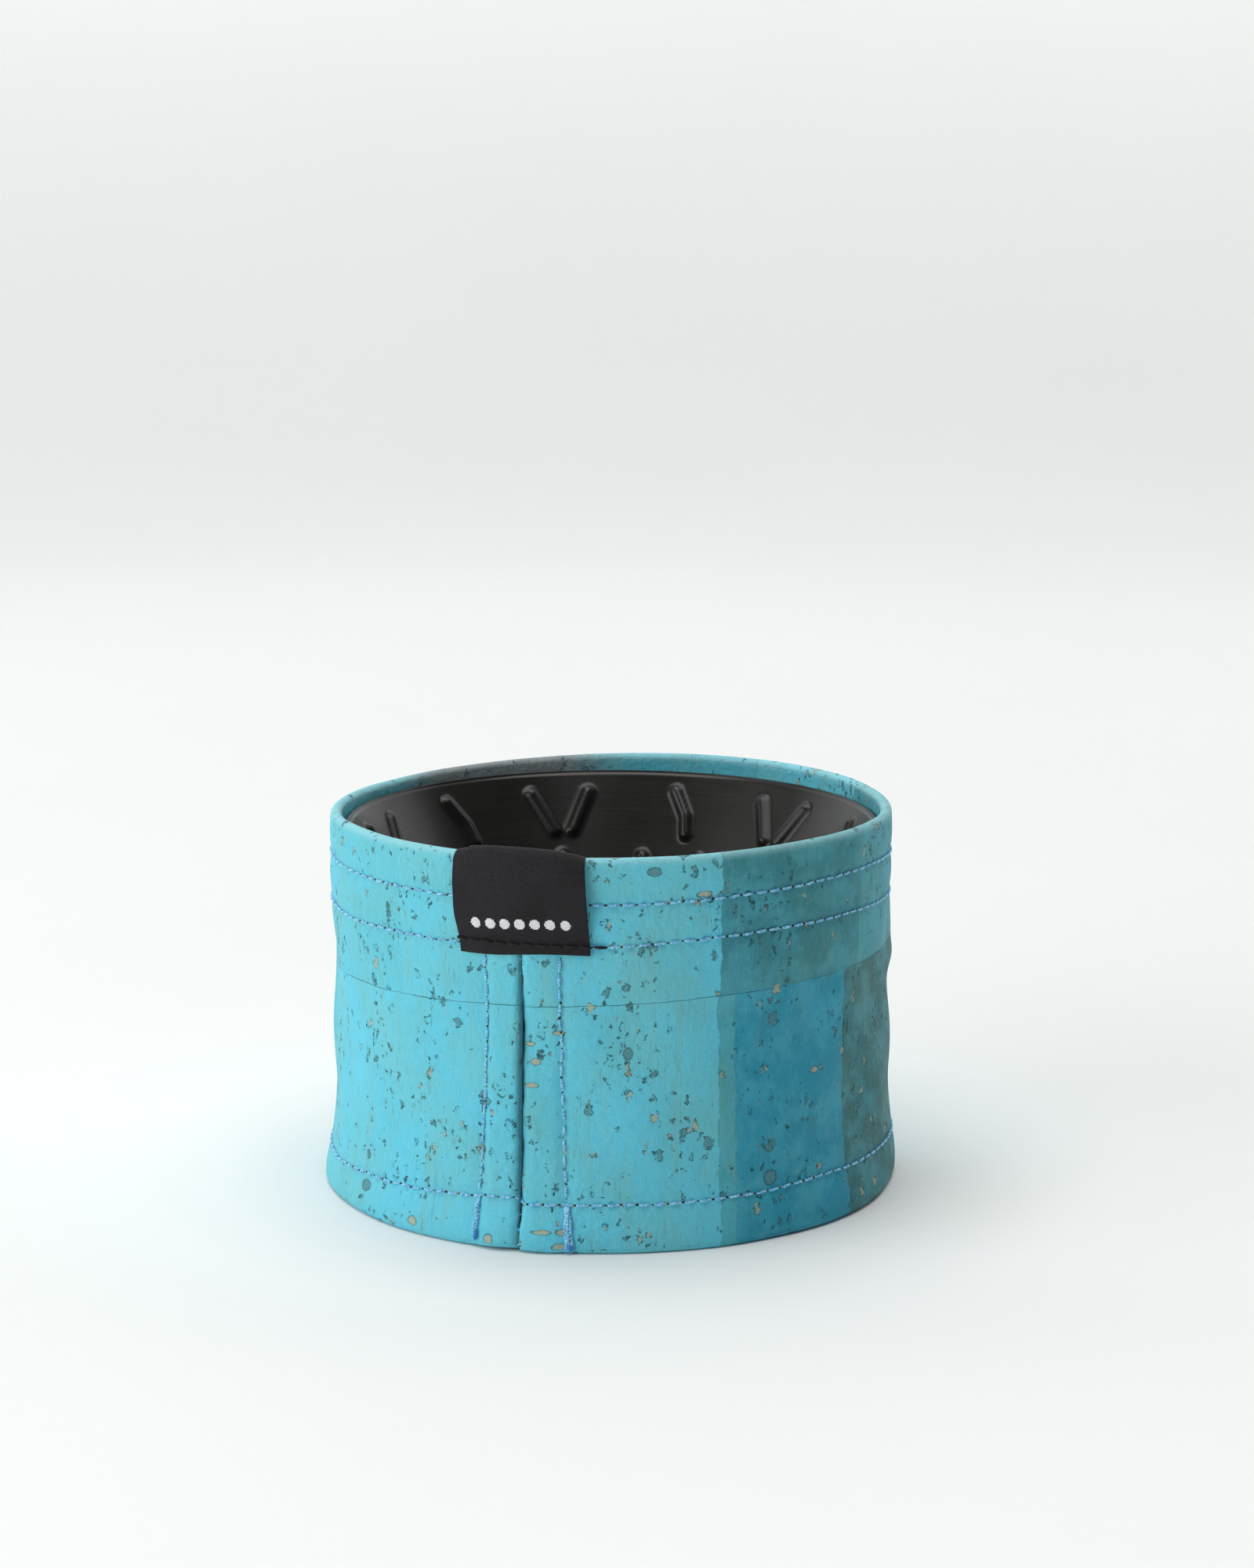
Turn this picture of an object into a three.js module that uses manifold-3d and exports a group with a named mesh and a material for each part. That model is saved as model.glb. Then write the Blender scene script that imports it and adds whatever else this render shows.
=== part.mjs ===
// A pour-over coffee dripper carried in a sewn sleeve of cork fabric.
// Millimetres, +Z up. The origin is the centre of the sleeve's foot, on the surface that it stands on.
// The sleeve's closing seam and its label face -Y. Angles run from -Y towards +X.
import * as THREE from "three";
import { mergeVertices } from "three/addons/utils/BufferGeometryUtils.js";
import Module from "manifold-3d";

const wasm = await Module();
wasm.setup();

// ---- driving dimensions ----
const SLEEVE_HEIGHT = 76;
const FOOT_RADIUS = 58; // outside of the sleeve at its foot
const FOLD_Z = 74; // the fold at the mouth starts to curve over here
const FOOT_FOLD_Z = 2; // and the fold at the foot curves under here
const FABRIC = 0.7; // cork fabric: cork veneer on its cloth backing
const INTERLINING = 0.5;
const LAYER_GAP = 0.2; // left between layers that lie on each other
const TOP_HEM = 22; // depth of the fold at the mouth
const FOOT_HEM = 14; // depth of the fold at the foot
const UPPER_STITCH_Z = 67.4;
const LOWER_STITCH_Z = 59.4;
const FOOT_STITCH_Z = 9.6;
const THREAD = 0.4;
const SEAM_THREAD = 0.3;
const SEAM_GAP = 0.6;
const SEAM_ALLOWANCE = 9.5; // each end of the panel is turned back this far inside
const SEAM_STITCH = 7.6; // from the seam to each line of topstitching
const LABEL_WIDTH = 25;
const LABEL_TOP_Z = 77.6;
const LABEL_FOOT_Z = 57;
const LABEL_STITCH_Z = 59.4;
const LABEL_CLOTH = 0.35;
const LABEL_SHOULDER_Z = 75; // where the label starts to curve over the mouth
const LABEL_THREAD_TAIL = 1.2; // what is left of the label's thread beyond its edges

const OUTLET_RADIUS = 11;
const CONE_FOOT_Z = 0.2;
const RIM_Z = 72;
const HALF_ANGLE = THREE.MathUtils.degToRad(30);
const SHEET = 0.9; // sheet metal of the cone
const RIB_WIDTH = 3;
const RIB_HEIGHT = 1.2;
const RIB_PITCH = 12.6; // height from one row of ribs to the next
const TOP_RIB_Z = 69;

const BASE_Z = 20; // underside of the silicone flange
const FLANGE_RADIUS = 47;
const FLANGE = 3.2;
const SKIRT = 3.5; // how far the base's skirt reaches below the flange
const COLLAR = 9.8; // how far its collar reaches above the flange
const BASE_CLEARANCE = 0.3;

const FACETS = 48; // facets round every turned piece, so that neighbours stay parallel

// ---- materials ----
const finish = (color, roughness, metalness = 0) =>
  new THREE.MeshStandardMaterial({ color, roughness, metalness });
const CORK = finish(0x4fb3c4, 0.6);
const CLOTH = finish(0xb9ae98, 0.9);
const BLUE_THREAD = finish(0x5b8fd6, 0.45);
const BLACK_THREAD = finish(0x121214, 0.5);
const LABEL_SATIN = finish(0x252428, 0.65);
const BLACK_METAL = finish(0x1a1a1a, 0.35, 0.8);
const SILICONE = finish(0x1c1c1e, 0.7);

// ---- solids ----
function solidOf(geometry) {
  const bare = geometry.index ? geometry.toNonIndexed() : geometry.clone();
  bare.deleteAttribute("normal");
  bare.deleteAttribute("uv");
  const merged = mergeVertices(bare, 1e-4);
  return new wasm.Manifold(
    new wasm.Mesh({
      numProp: 3,
      vertProperties: merged.attributes.position.array,
      triVerts: new Uint32Array(merged.index.array),
    }),
  );
}

function geometryOf(solid) {
  const mesh = solid.getMesh();
  const geometry = new THREE.BufferGeometry();
  geometry.setAttribute("position", new THREE.BufferAttribute(mesh.vertProperties, 3));
  geometry.setIndex(new THREE.BufferAttribute(mesh.triVerts, 1));
  geometry.computeVertexNormals();
  return geometry;
}

// A ring turned about +Z from a closed profile of [radius, height] points, in anticlockwise order.
function turned(profile) {
  const points = [...profile, profile[0]].map(([r, z]) => new THREE.Vector2(r, z));
  return solidOf(new THREE.LatheGeometry(points, FACETS).rotateX(Math.PI / 2));
}

// A block between two corners.
function block([x0, y0, z0], [x1, y1, z1]) {
  const box = new THREE.BoxGeometry(x1 - x0, y1 - y0, z1 - z0);
  return solidOf(box.translate((x0 + x1) / 2, (y0 + y1) / 2, (z0 + z1) / 2));
}

// The front slice of the sleeve between two sideways places and two heights.
const frontSlice = (x0, x1, z0, z1) => block([x0, -FOOT_RADIUS - 5, z0], [x1, -40, z1]);

// ---- the sleeve's outline ----
// The fabric is stiff and stands almost straight: it swells at the foot and the mouth, where it is
// folded, and draws in a little between them and along each line of stitches.
const WALL = [
  [FOOT_FOLD_Z, FOOT_RADIUS],
  [9.6, 57.4],
  [20, 56.4],
  [39, 55.8],
  [54, 56.3],
  [63.5, 56.7],
  [67.4, 56.4],
  [FOLD_Z, 56.6],
];
function wallRadius(z) {
  const upper = WALL.findIndex(([height]) => height >= z);
  if (upper <= 0) return WALL[upper === 0 ? 0 : WALL.length - 1][1];
  const [z0, r0] = WALL[upper - 1];
  const [z1, r1] = WALL[upper];
  return r0 + ((r1 - r0) * (z - z0)) / (z1 - z0);
}
const LINING_OUT = FABRIC + LAYER_GAP;
const LINING_IN = LINING_OUT + INTERLINING;
const HEM_OUT = LINING_IN + LAYER_GAP;
const HEM_IN = HEM_OUT + FABRIC; // a hem's whole thickness

// Points of a face that lies a set depth inside the wall's outer face, from z0 to z1.
function face(depth, z0, z1) {
  const between = WALL.map(([z]) => z).filter((z) => z > Math.min(z0, z1) && z < Math.max(z0, z1));
  const heights = [z0, ...(z0 < z1 ? between : between.reverse()), z1];
  return heights.map((z) => [wallRadius(z) - depth, z]);
}

// Half an ellipse over the mouth or under the foot, from one side of a fold to the other.
function fold(outer, inner, z, rise, steps) {
  const points = [];
  for (let i = 1; i < steps; i++) {
    const a = (Math.PI * i) / steps;
    const r = (outer + inner) / 2 + ((outer - inner) / 2) * Math.cos(a);
    points.push([r, z + rise * Math.sin(a)]);
  }
  return points;
}

const CORNER = 0.3; // how far the folds' square corners are cut back
const LINING_FOOT_Z = 2.6;
const LINING_TOP_Z = 73.4;
function corkShell() {
  const outerTop = wallRadius(FOLD_Z);
  const outerFoot = wallRadius(FOOT_FOLD_Z);
  const hemEnd = SLEEVE_HEIGHT - TOP_HEM;
  const profile = [
    ...face(0, FOOT_FOLD_Z, FOLD_Z),
    ...fold(outerTop, outerTop - HEM_IN, FOLD_Z, SLEEVE_HEIGHT - FOLD_Z, 4),
    ...face(HEM_IN, FOLD_Z, hemEnd),
    ...face(HEM_OUT, hemEnd, FOLD_Z),
    [outerTop - HEM_IN / 2, SLEEVE_HEIGHT - FABRIC],
    ...face(FABRIC, FOLD_Z, FOOT_FOLD_Z),
    [outerFoot - FABRIC - CORNER, FABRIC],
    [outerFoot - HEM_OUT + CORNER, FABRIC],
    ...face(HEM_OUT, FOOT_FOLD_Z, FOOT_HEM),
    ...face(HEM_IN, FOOT_HEM, FOOT_FOLD_Z),
    [outerFoot - HEM_IN + CORNER, 2 * CORNER],
    [outerFoot - HEM_IN + 2.5 * CORNER, 0],
    [outerFoot - 2.5 * CORNER, 0],
    [outerFoot - CORNER, 2 * CORNER],
  ];
  const overlap = 0.2; // sinks the turned-back ends into the wall, since they are all one sheet
  const allowances = turned([
    ...face(FABRIC - overlap, LINING_FOOT_Z, LINING_TOP_Z),
    ...face(2 * FABRIC, LINING_TOP_Z, LINING_FOOT_Z),
  ]).intersect(frontSlice(-SEAM_ALLOWANCE, SEAM_ALLOWANCE, 0, SLEEVE_HEIGHT));
  const gap = frontSlice(-SEAM_GAP / 2, SEAM_GAP / 2, -1, SLEEVE_HEIGHT + 1);
  return turned(profile).add(allowances).subtract(gap);
}

function interlining() {
  const ring = turned([
    ...face(LINING_OUT, LINING_FOOT_Z, LINING_TOP_Z),
    ...face(LINING_IN, LINING_TOP_Z, LINING_FOOT_Z),
  ]);
  const room = SEAM_ALLOWANCE + LAYER_GAP;
  return ring.subtract(frontSlice(-room, room, 0, SLEEVE_HEIGHT));
}

// ---- threads ----
// The needle thread of a line round the sleeve lies on the outside and its bobbin thread inside.
function threadRing(z, radius) {
  const half = THREAD / 2;
  return turned([
    [radius - half, z],
    [radius, z - half],
    [radius + half, z],
    [radius, z + half],
  ]);
}
const SURFACE_LIFT = THREAD / 2 + 0.03;
const needleRing = (z) => threadRing(z, wallRadius(z) + SURFACE_LIFT);
const bobbinRing = (z) => threadRing(z, wallRadius(z) - HEM_IN - SURFACE_LIFT);

// A thread that runs up the sleeve. Its back is at a depth inside the wall's outer face.
function upright(x, depth, z0, z1, width = THREAD) {
  const skin = turned([...face(depth - THREAD, z0, z1), ...face(depth, z1, z0)]);
  return skin.intersect(frontSlice(x - width / 2, x + width / 2, z0, z1));
}

// ---- label ----
// A satin strip folded over the mouth at the seam. One leg lies outside and one inside, between the
// hem and the dripper's rim. Each place is [radius of the hidden face, height]; the strip is laid on it.
const LABEL_OUTSIDE = 57;
const LABEL_INSIDE = 53.5; // clear of the bobbin threads
const LABEL_AT_RIM = 54;
const LABEL_STEP_Z = 69.5; // it steps outwards from here, to clear the dripper's rim
const LABEL_RIM_Z = 71.2;
function wovenLabel() {
  const crest = LABEL_TOP_Z - LABEL_CLOTH;
  const middle = (LABEL_OUTSIDE + LABEL_AT_RIM) / 2;
  const arch = 0.5; // the crest's corners are this far below its middle
  const hidden = [
    [LABEL_OUTSIDE, LABEL_FOOT_Z],
    [LABEL_OUTSIDE, LABEL_SHOULDER_Z],
    [middle + 1, crest - arch],
    [middle, crest],
    [middle - 1, crest - arch],
    [LABEL_AT_RIM, LABEL_SHOULDER_Z],
    [LABEL_AT_RIM, LABEL_RIM_Z],
    [LABEL_INSIDE, LABEL_STEP_Z],
    [LABEL_INSIDE, LABEL_FOOT_Z],
  ];
  const shown = [
    [LABEL_INSIDE - LABEL_CLOTH, LABEL_FOOT_Z],
    [LABEL_INSIDE - LABEL_CLOTH, LABEL_STEP_Z],
    [LABEL_AT_RIM - LABEL_CLOTH, LABEL_RIM_Z],
    [LABEL_AT_RIM - LABEL_CLOTH, LABEL_SHOULDER_Z],
    [middle - 1.2, LABEL_TOP_Z - arch],
    [middle, LABEL_TOP_Z],
    [middle + 1.2, LABEL_TOP_Z - arch],
    [LABEL_OUTSIDE + LABEL_CLOTH, LABEL_SHOULDER_Z],
    [LABEL_OUTSIDE + LABEL_CLOTH, LABEL_FOOT_Z],
  ];
  const half = LABEL_WIDTH / 2;
  return turned([...hidden, ...shown].reverse()).intersect(frontSlice(-half, half, 0, 90));
}
const LABEL_NEEDLE = LABEL_OUTSIDE + LABEL_CLOTH + SURFACE_LIFT;
const LABEL_BOBBIN = LABEL_INSIDE - LABEL_CLOTH - SURFACE_LIFT;
function labelThread(radius) {
  const reach = LABEL_WIDTH / 2 + LABEL_THREAD_TAIL;
  return threadRing(LABEL_STITCH_Z, radius).intersect(frontSlice(-reach, reach, 0, 90));
}

// ---- dripper ----
const SHEET_ACROSS = SHEET / Math.cos(HALF_ANGLE); // the sheet's thickness measured level
const coneRadius = (z) => OUTLET_RADIUS + (z - CONE_FOOT_Z) * Math.tan(HALF_ANGLE);

function plainCone() {
  const rim = coneRadius(RIM_Z);
  return turned([
    [OUTLET_RADIUS + 0.2, CONE_FOOT_Z],
    [OUTLET_RADIUS + SHEET_ACROSS - 0.3, CONE_FOOT_Z],
    [coneRadius(1.2) + SHEET_ACROSS, 1.2],
    [rim + SHEET_ACROSS - 0.35, RIM_Z - 0.6],
    [rim + SHEET_ACROSS - 0.45, RIM_Z - 0.1],
    [rim + 0.3, RIM_Z],
    [coneRadius(RIM_Z - 0.5), RIM_Z - 0.5],
    [coneRadius(1.2), 1.2],
  ]);
}

// A rib is a channel pressed into the sheet: a ridge inside and a groove outside. It is a capsule
// flattened across the sheet, laid from one place to another.
const onCone = (angle, z, depth) => {
  const r = coneRadius(z) + depth / Math.cos(HALF_ANGLE);
  const a = THREE.MathUtils.degToRad(angle);
  return new THREE.Vector3(r * Math.sin(a), -r * Math.cos(a), z);
};
function ribPart([angle0, z0], [angle1, z1], depth) {
  const start = onCone(angle0, z0, depth);
  const end = onCone(angle1, z1, depth);
  const along = end.clone().sub(start);
  const middle = THREE.MathUtils.degToRad((angle0 + angle1) / 2);
  const inward = new THREE.Vector3(-Math.sin(middle), Math.cos(middle), Math.tan(HALF_ANGLE));
  const y = along.clone().normalize();
  const z = inward.addScaledVector(y, -inward.dot(y)).normalize();
  const x = y.clone().cross(z);
  const capsule = new THREE.CapsuleGeometry(RIB_WIDTH / 2, along.length(), 1, 4);
  capsule.scale(1, 1, RIB_HEIGHT / (RIB_WIDTH / 2));
  capsule.applyMatrix4(new THREE.Matrix4().makeBasis(x, y, z));
  const centre = start.add(end).multiplyScalar(0.5);
  return solidOf(capsule.translate(centre.x, centre.y, centre.z));
}

// Each row holds leaning pairs and bent ribs by turns. Every second row is turned by half the spacing.
// Places are in millimetres sideways from the rib's own angle and upwards from the row's top.
const LEFT_ARM = [[-6.3, -0.6], [-1.9, -8.1]];
const RIGHT_ARM = [[6.3, -0.6], [1.9, -8.1]];
const BENT = [[0.8, -0.3], [-2.1, -5], [-2.7, -8.8]];
const SHORT = [[0, 0], [0, -7]];
function ribLines() {
  const lines = [];
  const place = (path, angle, top) =>
    lines.push(
      path.map(([side, down]) => {
        const degrees = THREE.MathUtils.radToDeg(side / coneRadius(top + down));
        return [angle + degrees, top + down];
      }),
    );
  for (let row = 0; row < 3; row++) {
    const top = TOP_RIB_Z - row * RIB_PITCH;
    const turn = row % 2 ? 30 : 0;
    for (let step = 0; step < 6; step++) {
      place(LEFT_ARM, 60 * step + 30 + turn, top);
      place(RIGHT_ARM, 60 * step + 30 + turn, top);
      place(BENT, 60 * step + turn, top);
    }
  }
  for (let step = 0; step < 6; step++) {
    place(SHORT, 60 * step, TOP_RIB_Z - 3 * RIB_PITCH);
    place(SHORT, 60 * step + 30, TOP_RIB_Z - 3.8 * RIB_PITCH);
  }
  return lines;
}
const ribsAt = (depth) =>
  ribLines().flatMap((line) => line.slice(1).map((end, i) => ribPart(line[i], end, depth)));

function dripperCone() {
  const ridges = wasm.Manifold.union(ribsAt(0));
  const grooves = wasm.Manifold.union(ribsAt(SHEET));
  return plainCone().add(ridges).subtract(grooves);
}

// ---- silicone base ----
// A flange that sits on a cup, a skirt that drops into its mouth and a collar that grips the cone.
function siliconeBase() {
  const bore = (z) => coneRadius(z) + SHEET_ACROSS + BASE_CLEARANCE;
  const skirtFoot = BASE_Z - SKIRT;
  const flangeTop = BASE_Z + FLANGE;
  const collarTop = flangeTop + COLLAR;
  return turned([
    [bore(skirtFoot), skirtFoot],
    [26, skirtFoot],
    [26.6, skirtFoot + 0.6],
    [26.6, BASE_Z],
    [FLANGE_RADIUS - 0.8, BASE_Z],
    [FLANGE_RADIUS, BASE_Z + 0.8],
    [FLANGE_RADIUS, flangeTop - 0.8],
    [FLANGE_RADIUS - 0.8, flangeTop],
    [bore(flangeTop) + 2.6, flangeTop],
    [bore(collarTop) + 1.6, collarTop],
    [bore(collarTop), collarTop],
  ]);
}

// ---- assembly ----
function piece(name, solid, material) {
  const mesh = new THREE.Mesh(geometryOf(solid), material);
  mesh.name = name;
  return mesh;
}

const sleeve = new THREE.Group();
sleeve.add(
  piece("cork_shell", corkShell(), CORK),
  piece("interlining", interlining(), CLOTH),
  piece("woven_label", wovenLabel(), LABEL_SATIN),
  piece("label_thread", labelThread(LABEL_NEEDLE), BLACK_THREAD),
  piece("label_bobbin_thread", labelThread(LABEL_BOBBIN), BLACK_THREAD),
);
const HEM_LINES = { upper: UPPER_STITCH_Z, lower: LOWER_STITCH_Z, foot: FOOT_STITCH_Z };
for (const [name, z] of Object.entries(HEM_LINES)) {
  sleeve.add(
    piece(`hem_thread_${name}`, needleRing(z), BLUE_THREAD),
    piece(`hem_bobbin_thread_${name}`, bobbinRing(z), BLUE_THREAD),
  );
}
const SIDES = { left: -1, right: 1 };
const BOBBIN_DEPTH = 2 * FABRIC + THREAD + 0.05; // just behind the turned-back ends
for (const [name, side] of Object.entries(SIDES)) {
  const x = side * SEAM_STITCH;
  const visible = upright(x, -0.03, FOOT_STITCH_Z + 1, LABEL_FOOT_Z - 1.5);
  const hidden = upright(x, BOBBIN_DEPTH, FOOT_HEM + 1, SLEEVE_HEIGHT - TOP_HEM - 1);
  sleeve.add(
    piece(`seam_thread_${name}`, visible, BLUE_THREAD),
    piece(`seam_bobbin_thread_${name}`, hidden, BLUE_THREAD),
  );
}
const joining = upright(0, 0.8, 3, SLEEVE_HEIGHT - 3, SEAM_THREAD);
sleeve.add(piece("seam_joining_thread", joining, BLUE_THREAD));

const dripper = new THREE.Group();
dripper.add(
  piece("dripper_cone", dripperCone(), BLACK_METAL),
  piece("silicone_base", siliconeBase(), SILICONE),
);

const travelDripper = new THREE.Group();
travelDripper.add(sleeve, dripper);
export default travelDripper;
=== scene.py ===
"""A coffee dripper in a sewn cork-fabric sleeve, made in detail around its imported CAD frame.

Lengths here are in millimetres and become metres when a mesh is made. Angles are in degrees round +Z,
from the seam at -Y towards +X. A place on the sleeve's panel is an angle and a way up the cloth from the
foot. On the outer wall that way is the height. It runs on over the fold at the mouth and down inside.
"""
import math
from functools import partialmethod

import bpy
import numpy as np
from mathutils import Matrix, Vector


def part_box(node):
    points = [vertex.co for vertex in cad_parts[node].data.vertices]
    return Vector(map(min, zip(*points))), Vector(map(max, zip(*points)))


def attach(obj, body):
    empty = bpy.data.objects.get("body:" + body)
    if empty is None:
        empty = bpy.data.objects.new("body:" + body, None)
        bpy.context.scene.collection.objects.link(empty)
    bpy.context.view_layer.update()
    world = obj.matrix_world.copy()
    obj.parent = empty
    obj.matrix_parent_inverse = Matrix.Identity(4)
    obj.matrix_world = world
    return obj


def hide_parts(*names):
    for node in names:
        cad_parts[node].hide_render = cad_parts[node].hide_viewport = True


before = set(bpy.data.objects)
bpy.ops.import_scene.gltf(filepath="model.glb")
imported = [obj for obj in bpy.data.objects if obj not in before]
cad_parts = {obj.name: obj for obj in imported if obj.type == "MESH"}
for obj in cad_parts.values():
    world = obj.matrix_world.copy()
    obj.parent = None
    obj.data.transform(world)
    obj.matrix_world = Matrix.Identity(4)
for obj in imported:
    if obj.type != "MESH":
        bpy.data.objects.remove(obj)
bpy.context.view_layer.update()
rng = np.random.default_rng(20)

MM = 0.001
MAP_UNIT = 100.0  # millimetres of cloth to one unit of its UV map

# ---- driving sizes, in millimetres ----
HEM = 2.3  # thickness of the folded hems
SHEET = 0.7  # thickness of the cork fabric
FOLD = HEM / 2  # radius of the folds at the mouth and foot
SLEEVE_HEIGHT = 76.0
FOLD_Z = SLEEVE_HEIGHT - FOLD
FOOT_FOLD_Z = FOLD
TOP_HEM_Z = 54.0
FOOT_HEM_Z = 14.0
MEAN_RADIUS = 56.5
DEGREE = math.radians(MEAN_RADIUS)  # millimetres of cloth to one degree round the wall
LABEL_DEGREE = math.radians(MEAN_RADIUS + 0.8)  # and on the label, which lies outside the wall
SEAM_ANGLE = -0.4
STITCH = 2.9
PLY = 0.17  # radius of one of the thread's three plies
LABEL_WIDTH = 26.0

low, high = (np.array(corner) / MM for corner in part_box("dripper_cone"))
CONE_FOOT = low[2]
CONE_RIM = high[2]
CONE_HALF_ANGLE = math.radians(30)
SLOPE = math.tan(CONE_HALF_ANGLE)
OUTLET_RADIUS = 11.0
CONE_SHEET = 0.9


# ---- small helpers ----
def srgb(red, green, blue):
    """A colour given as 0-255 sRGB, as linear values."""
    values = np.array([red, green, blue]) / 255
    linear = np.where(values <= 0.04045, values / 12.92, ((values + 0.055) / 1.055) ** 2.4)
    return (*map(float, linear), 1.0)


def smoothstep(start, end, value):
    t = np.clip((value - start) / (end - start), 0, 1)
    return t * t * (3 - 2 * t)


def bump(value, centre, width):
    return np.exp(-(((value - centre) / width) ** 2))


def around(angle, stops):
    """A value that changes smoothly with the angle, through (angle, value) stops round the sleeve."""
    places, values = np.array(stops, float).T
    order = np.argsort(places % 360)
    fine = np.arange(0, 360, 1.0)
    reach = 24  # degrees to either side that are averaged
    table = np.interp(fine, (places % 360)[order], values[order], period=360)
    kernel = bump(np.arange(-reach, reach + 1), 0, 9)
    padded = np.concatenate([table[-reach:], table, table[:reach]])
    table = np.convolve(padded, kernel / kernel.sum(), "valid")
    return np.interp(angle % 360, fine, table, period=360)


def polar(angle, radius, height):
    """Points from angles in degrees and lengths, stacked on a last axis."""
    angle, radius, height = np.broadcast_arrays(np.radians(angle), radius, height)
    return np.stack([radius * np.sin(angle), -radius * np.cos(angle), height], -1)


def grid_faces(rows, columns, wrap_rows=False, wrap_columns=False):
    """The four-sided faces of a grid of points, counted row by row."""
    row = np.arange(rows if wrap_rows else rows - 1)
    column = np.arange(columns if wrap_columns else columns - 1)
    row, column = np.meshgrid(row, column, indexing="ij")
    next_row = (row + 1) % rows
    next_column = (column + 1) % columns
    corners = [
        row * columns + column,
        next_row * columns + column,
        next_row * columns + next_column,
        row * columns + next_column,
    ]
    return np.stack(corners, -1).reshape(-1, 4)


def add_object(name, data):
    thing = bpy.data.objects.new(name, data)
    bpy.context.scene.collection.objects.link(thing)
    return thing


def make_piece(name, points, faces, look, nodes=(), flat=None, loops=(), body="sleeve"):
    """A smooth-shaded piece from points in millimetres, its quads, and extra faces with more corners."""
    points = np.asarray(points, float).reshape(-1, 3)
    mesh = bpy.data.meshes.new(name)
    mesh.vertices.add(len(points))
    mesh.vertices.foreach_set("co", (points * MM).astype(np.float32).ravel())
    extra = [np.asarray(loop, int) for loop in loops]
    corners = np.concatenate([faces.ravel(), *extra]).astype(np.int32)
    sizes = np.concatenate([np.full(len(faces), 4), [len(loop) for loop in extra]]).astype(int)
    mesh.loops.add(len(corners))
    mesh.loops.foreach_set("vertex_index", corners)
    mesh.polygons.add(len(sizes))
    mesh.polygons.foreach_set("loop_start", (np.cumsum(sizes) - sizes).astype(np.int32))
    mesh.polygons.foreach_set("use_smooth", np.ones(len(sizes), bool))
    if flat is not None:
        layer = mesh.uv_layers.new(name="cloth")
        spread = np.asarray(flat, float).reshape(-1, 2)[corners] / MAP_UNIT
        layer.data.foreach_set("uv", spread.astype(np.float32).ravel())
    mesh.update(calc_edges=True)
    mesh.validate()
    piece = add_object(name, mesh)
    material, slot = look
    mesh.materials.append(material)
    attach(piece, body)
    if nodes:
        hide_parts(*nodes)
    return piece


def make_tube(name, points, look, nodes, flat):
    """A piece from a grid of points whose rows are rings, closed at its first and last row."""
    rows, columns = points.shape[:2]
    ends = [np.arange(columns)[::-1], (rows - 1) * columns + np.arange(columns)]
    return make_piece(name, points, grid_faces(rows, columns, wrap_columns=True), look, nodes, flat, ends)


def make_ring(name, points, look, nodes, body):
    """A piece from a grid of points that closes on itself both ways, like a torus."""
    make_piece(name, points, grid_faces(*points.shape[:2], True, True), look, nodes, body=body)


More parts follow.
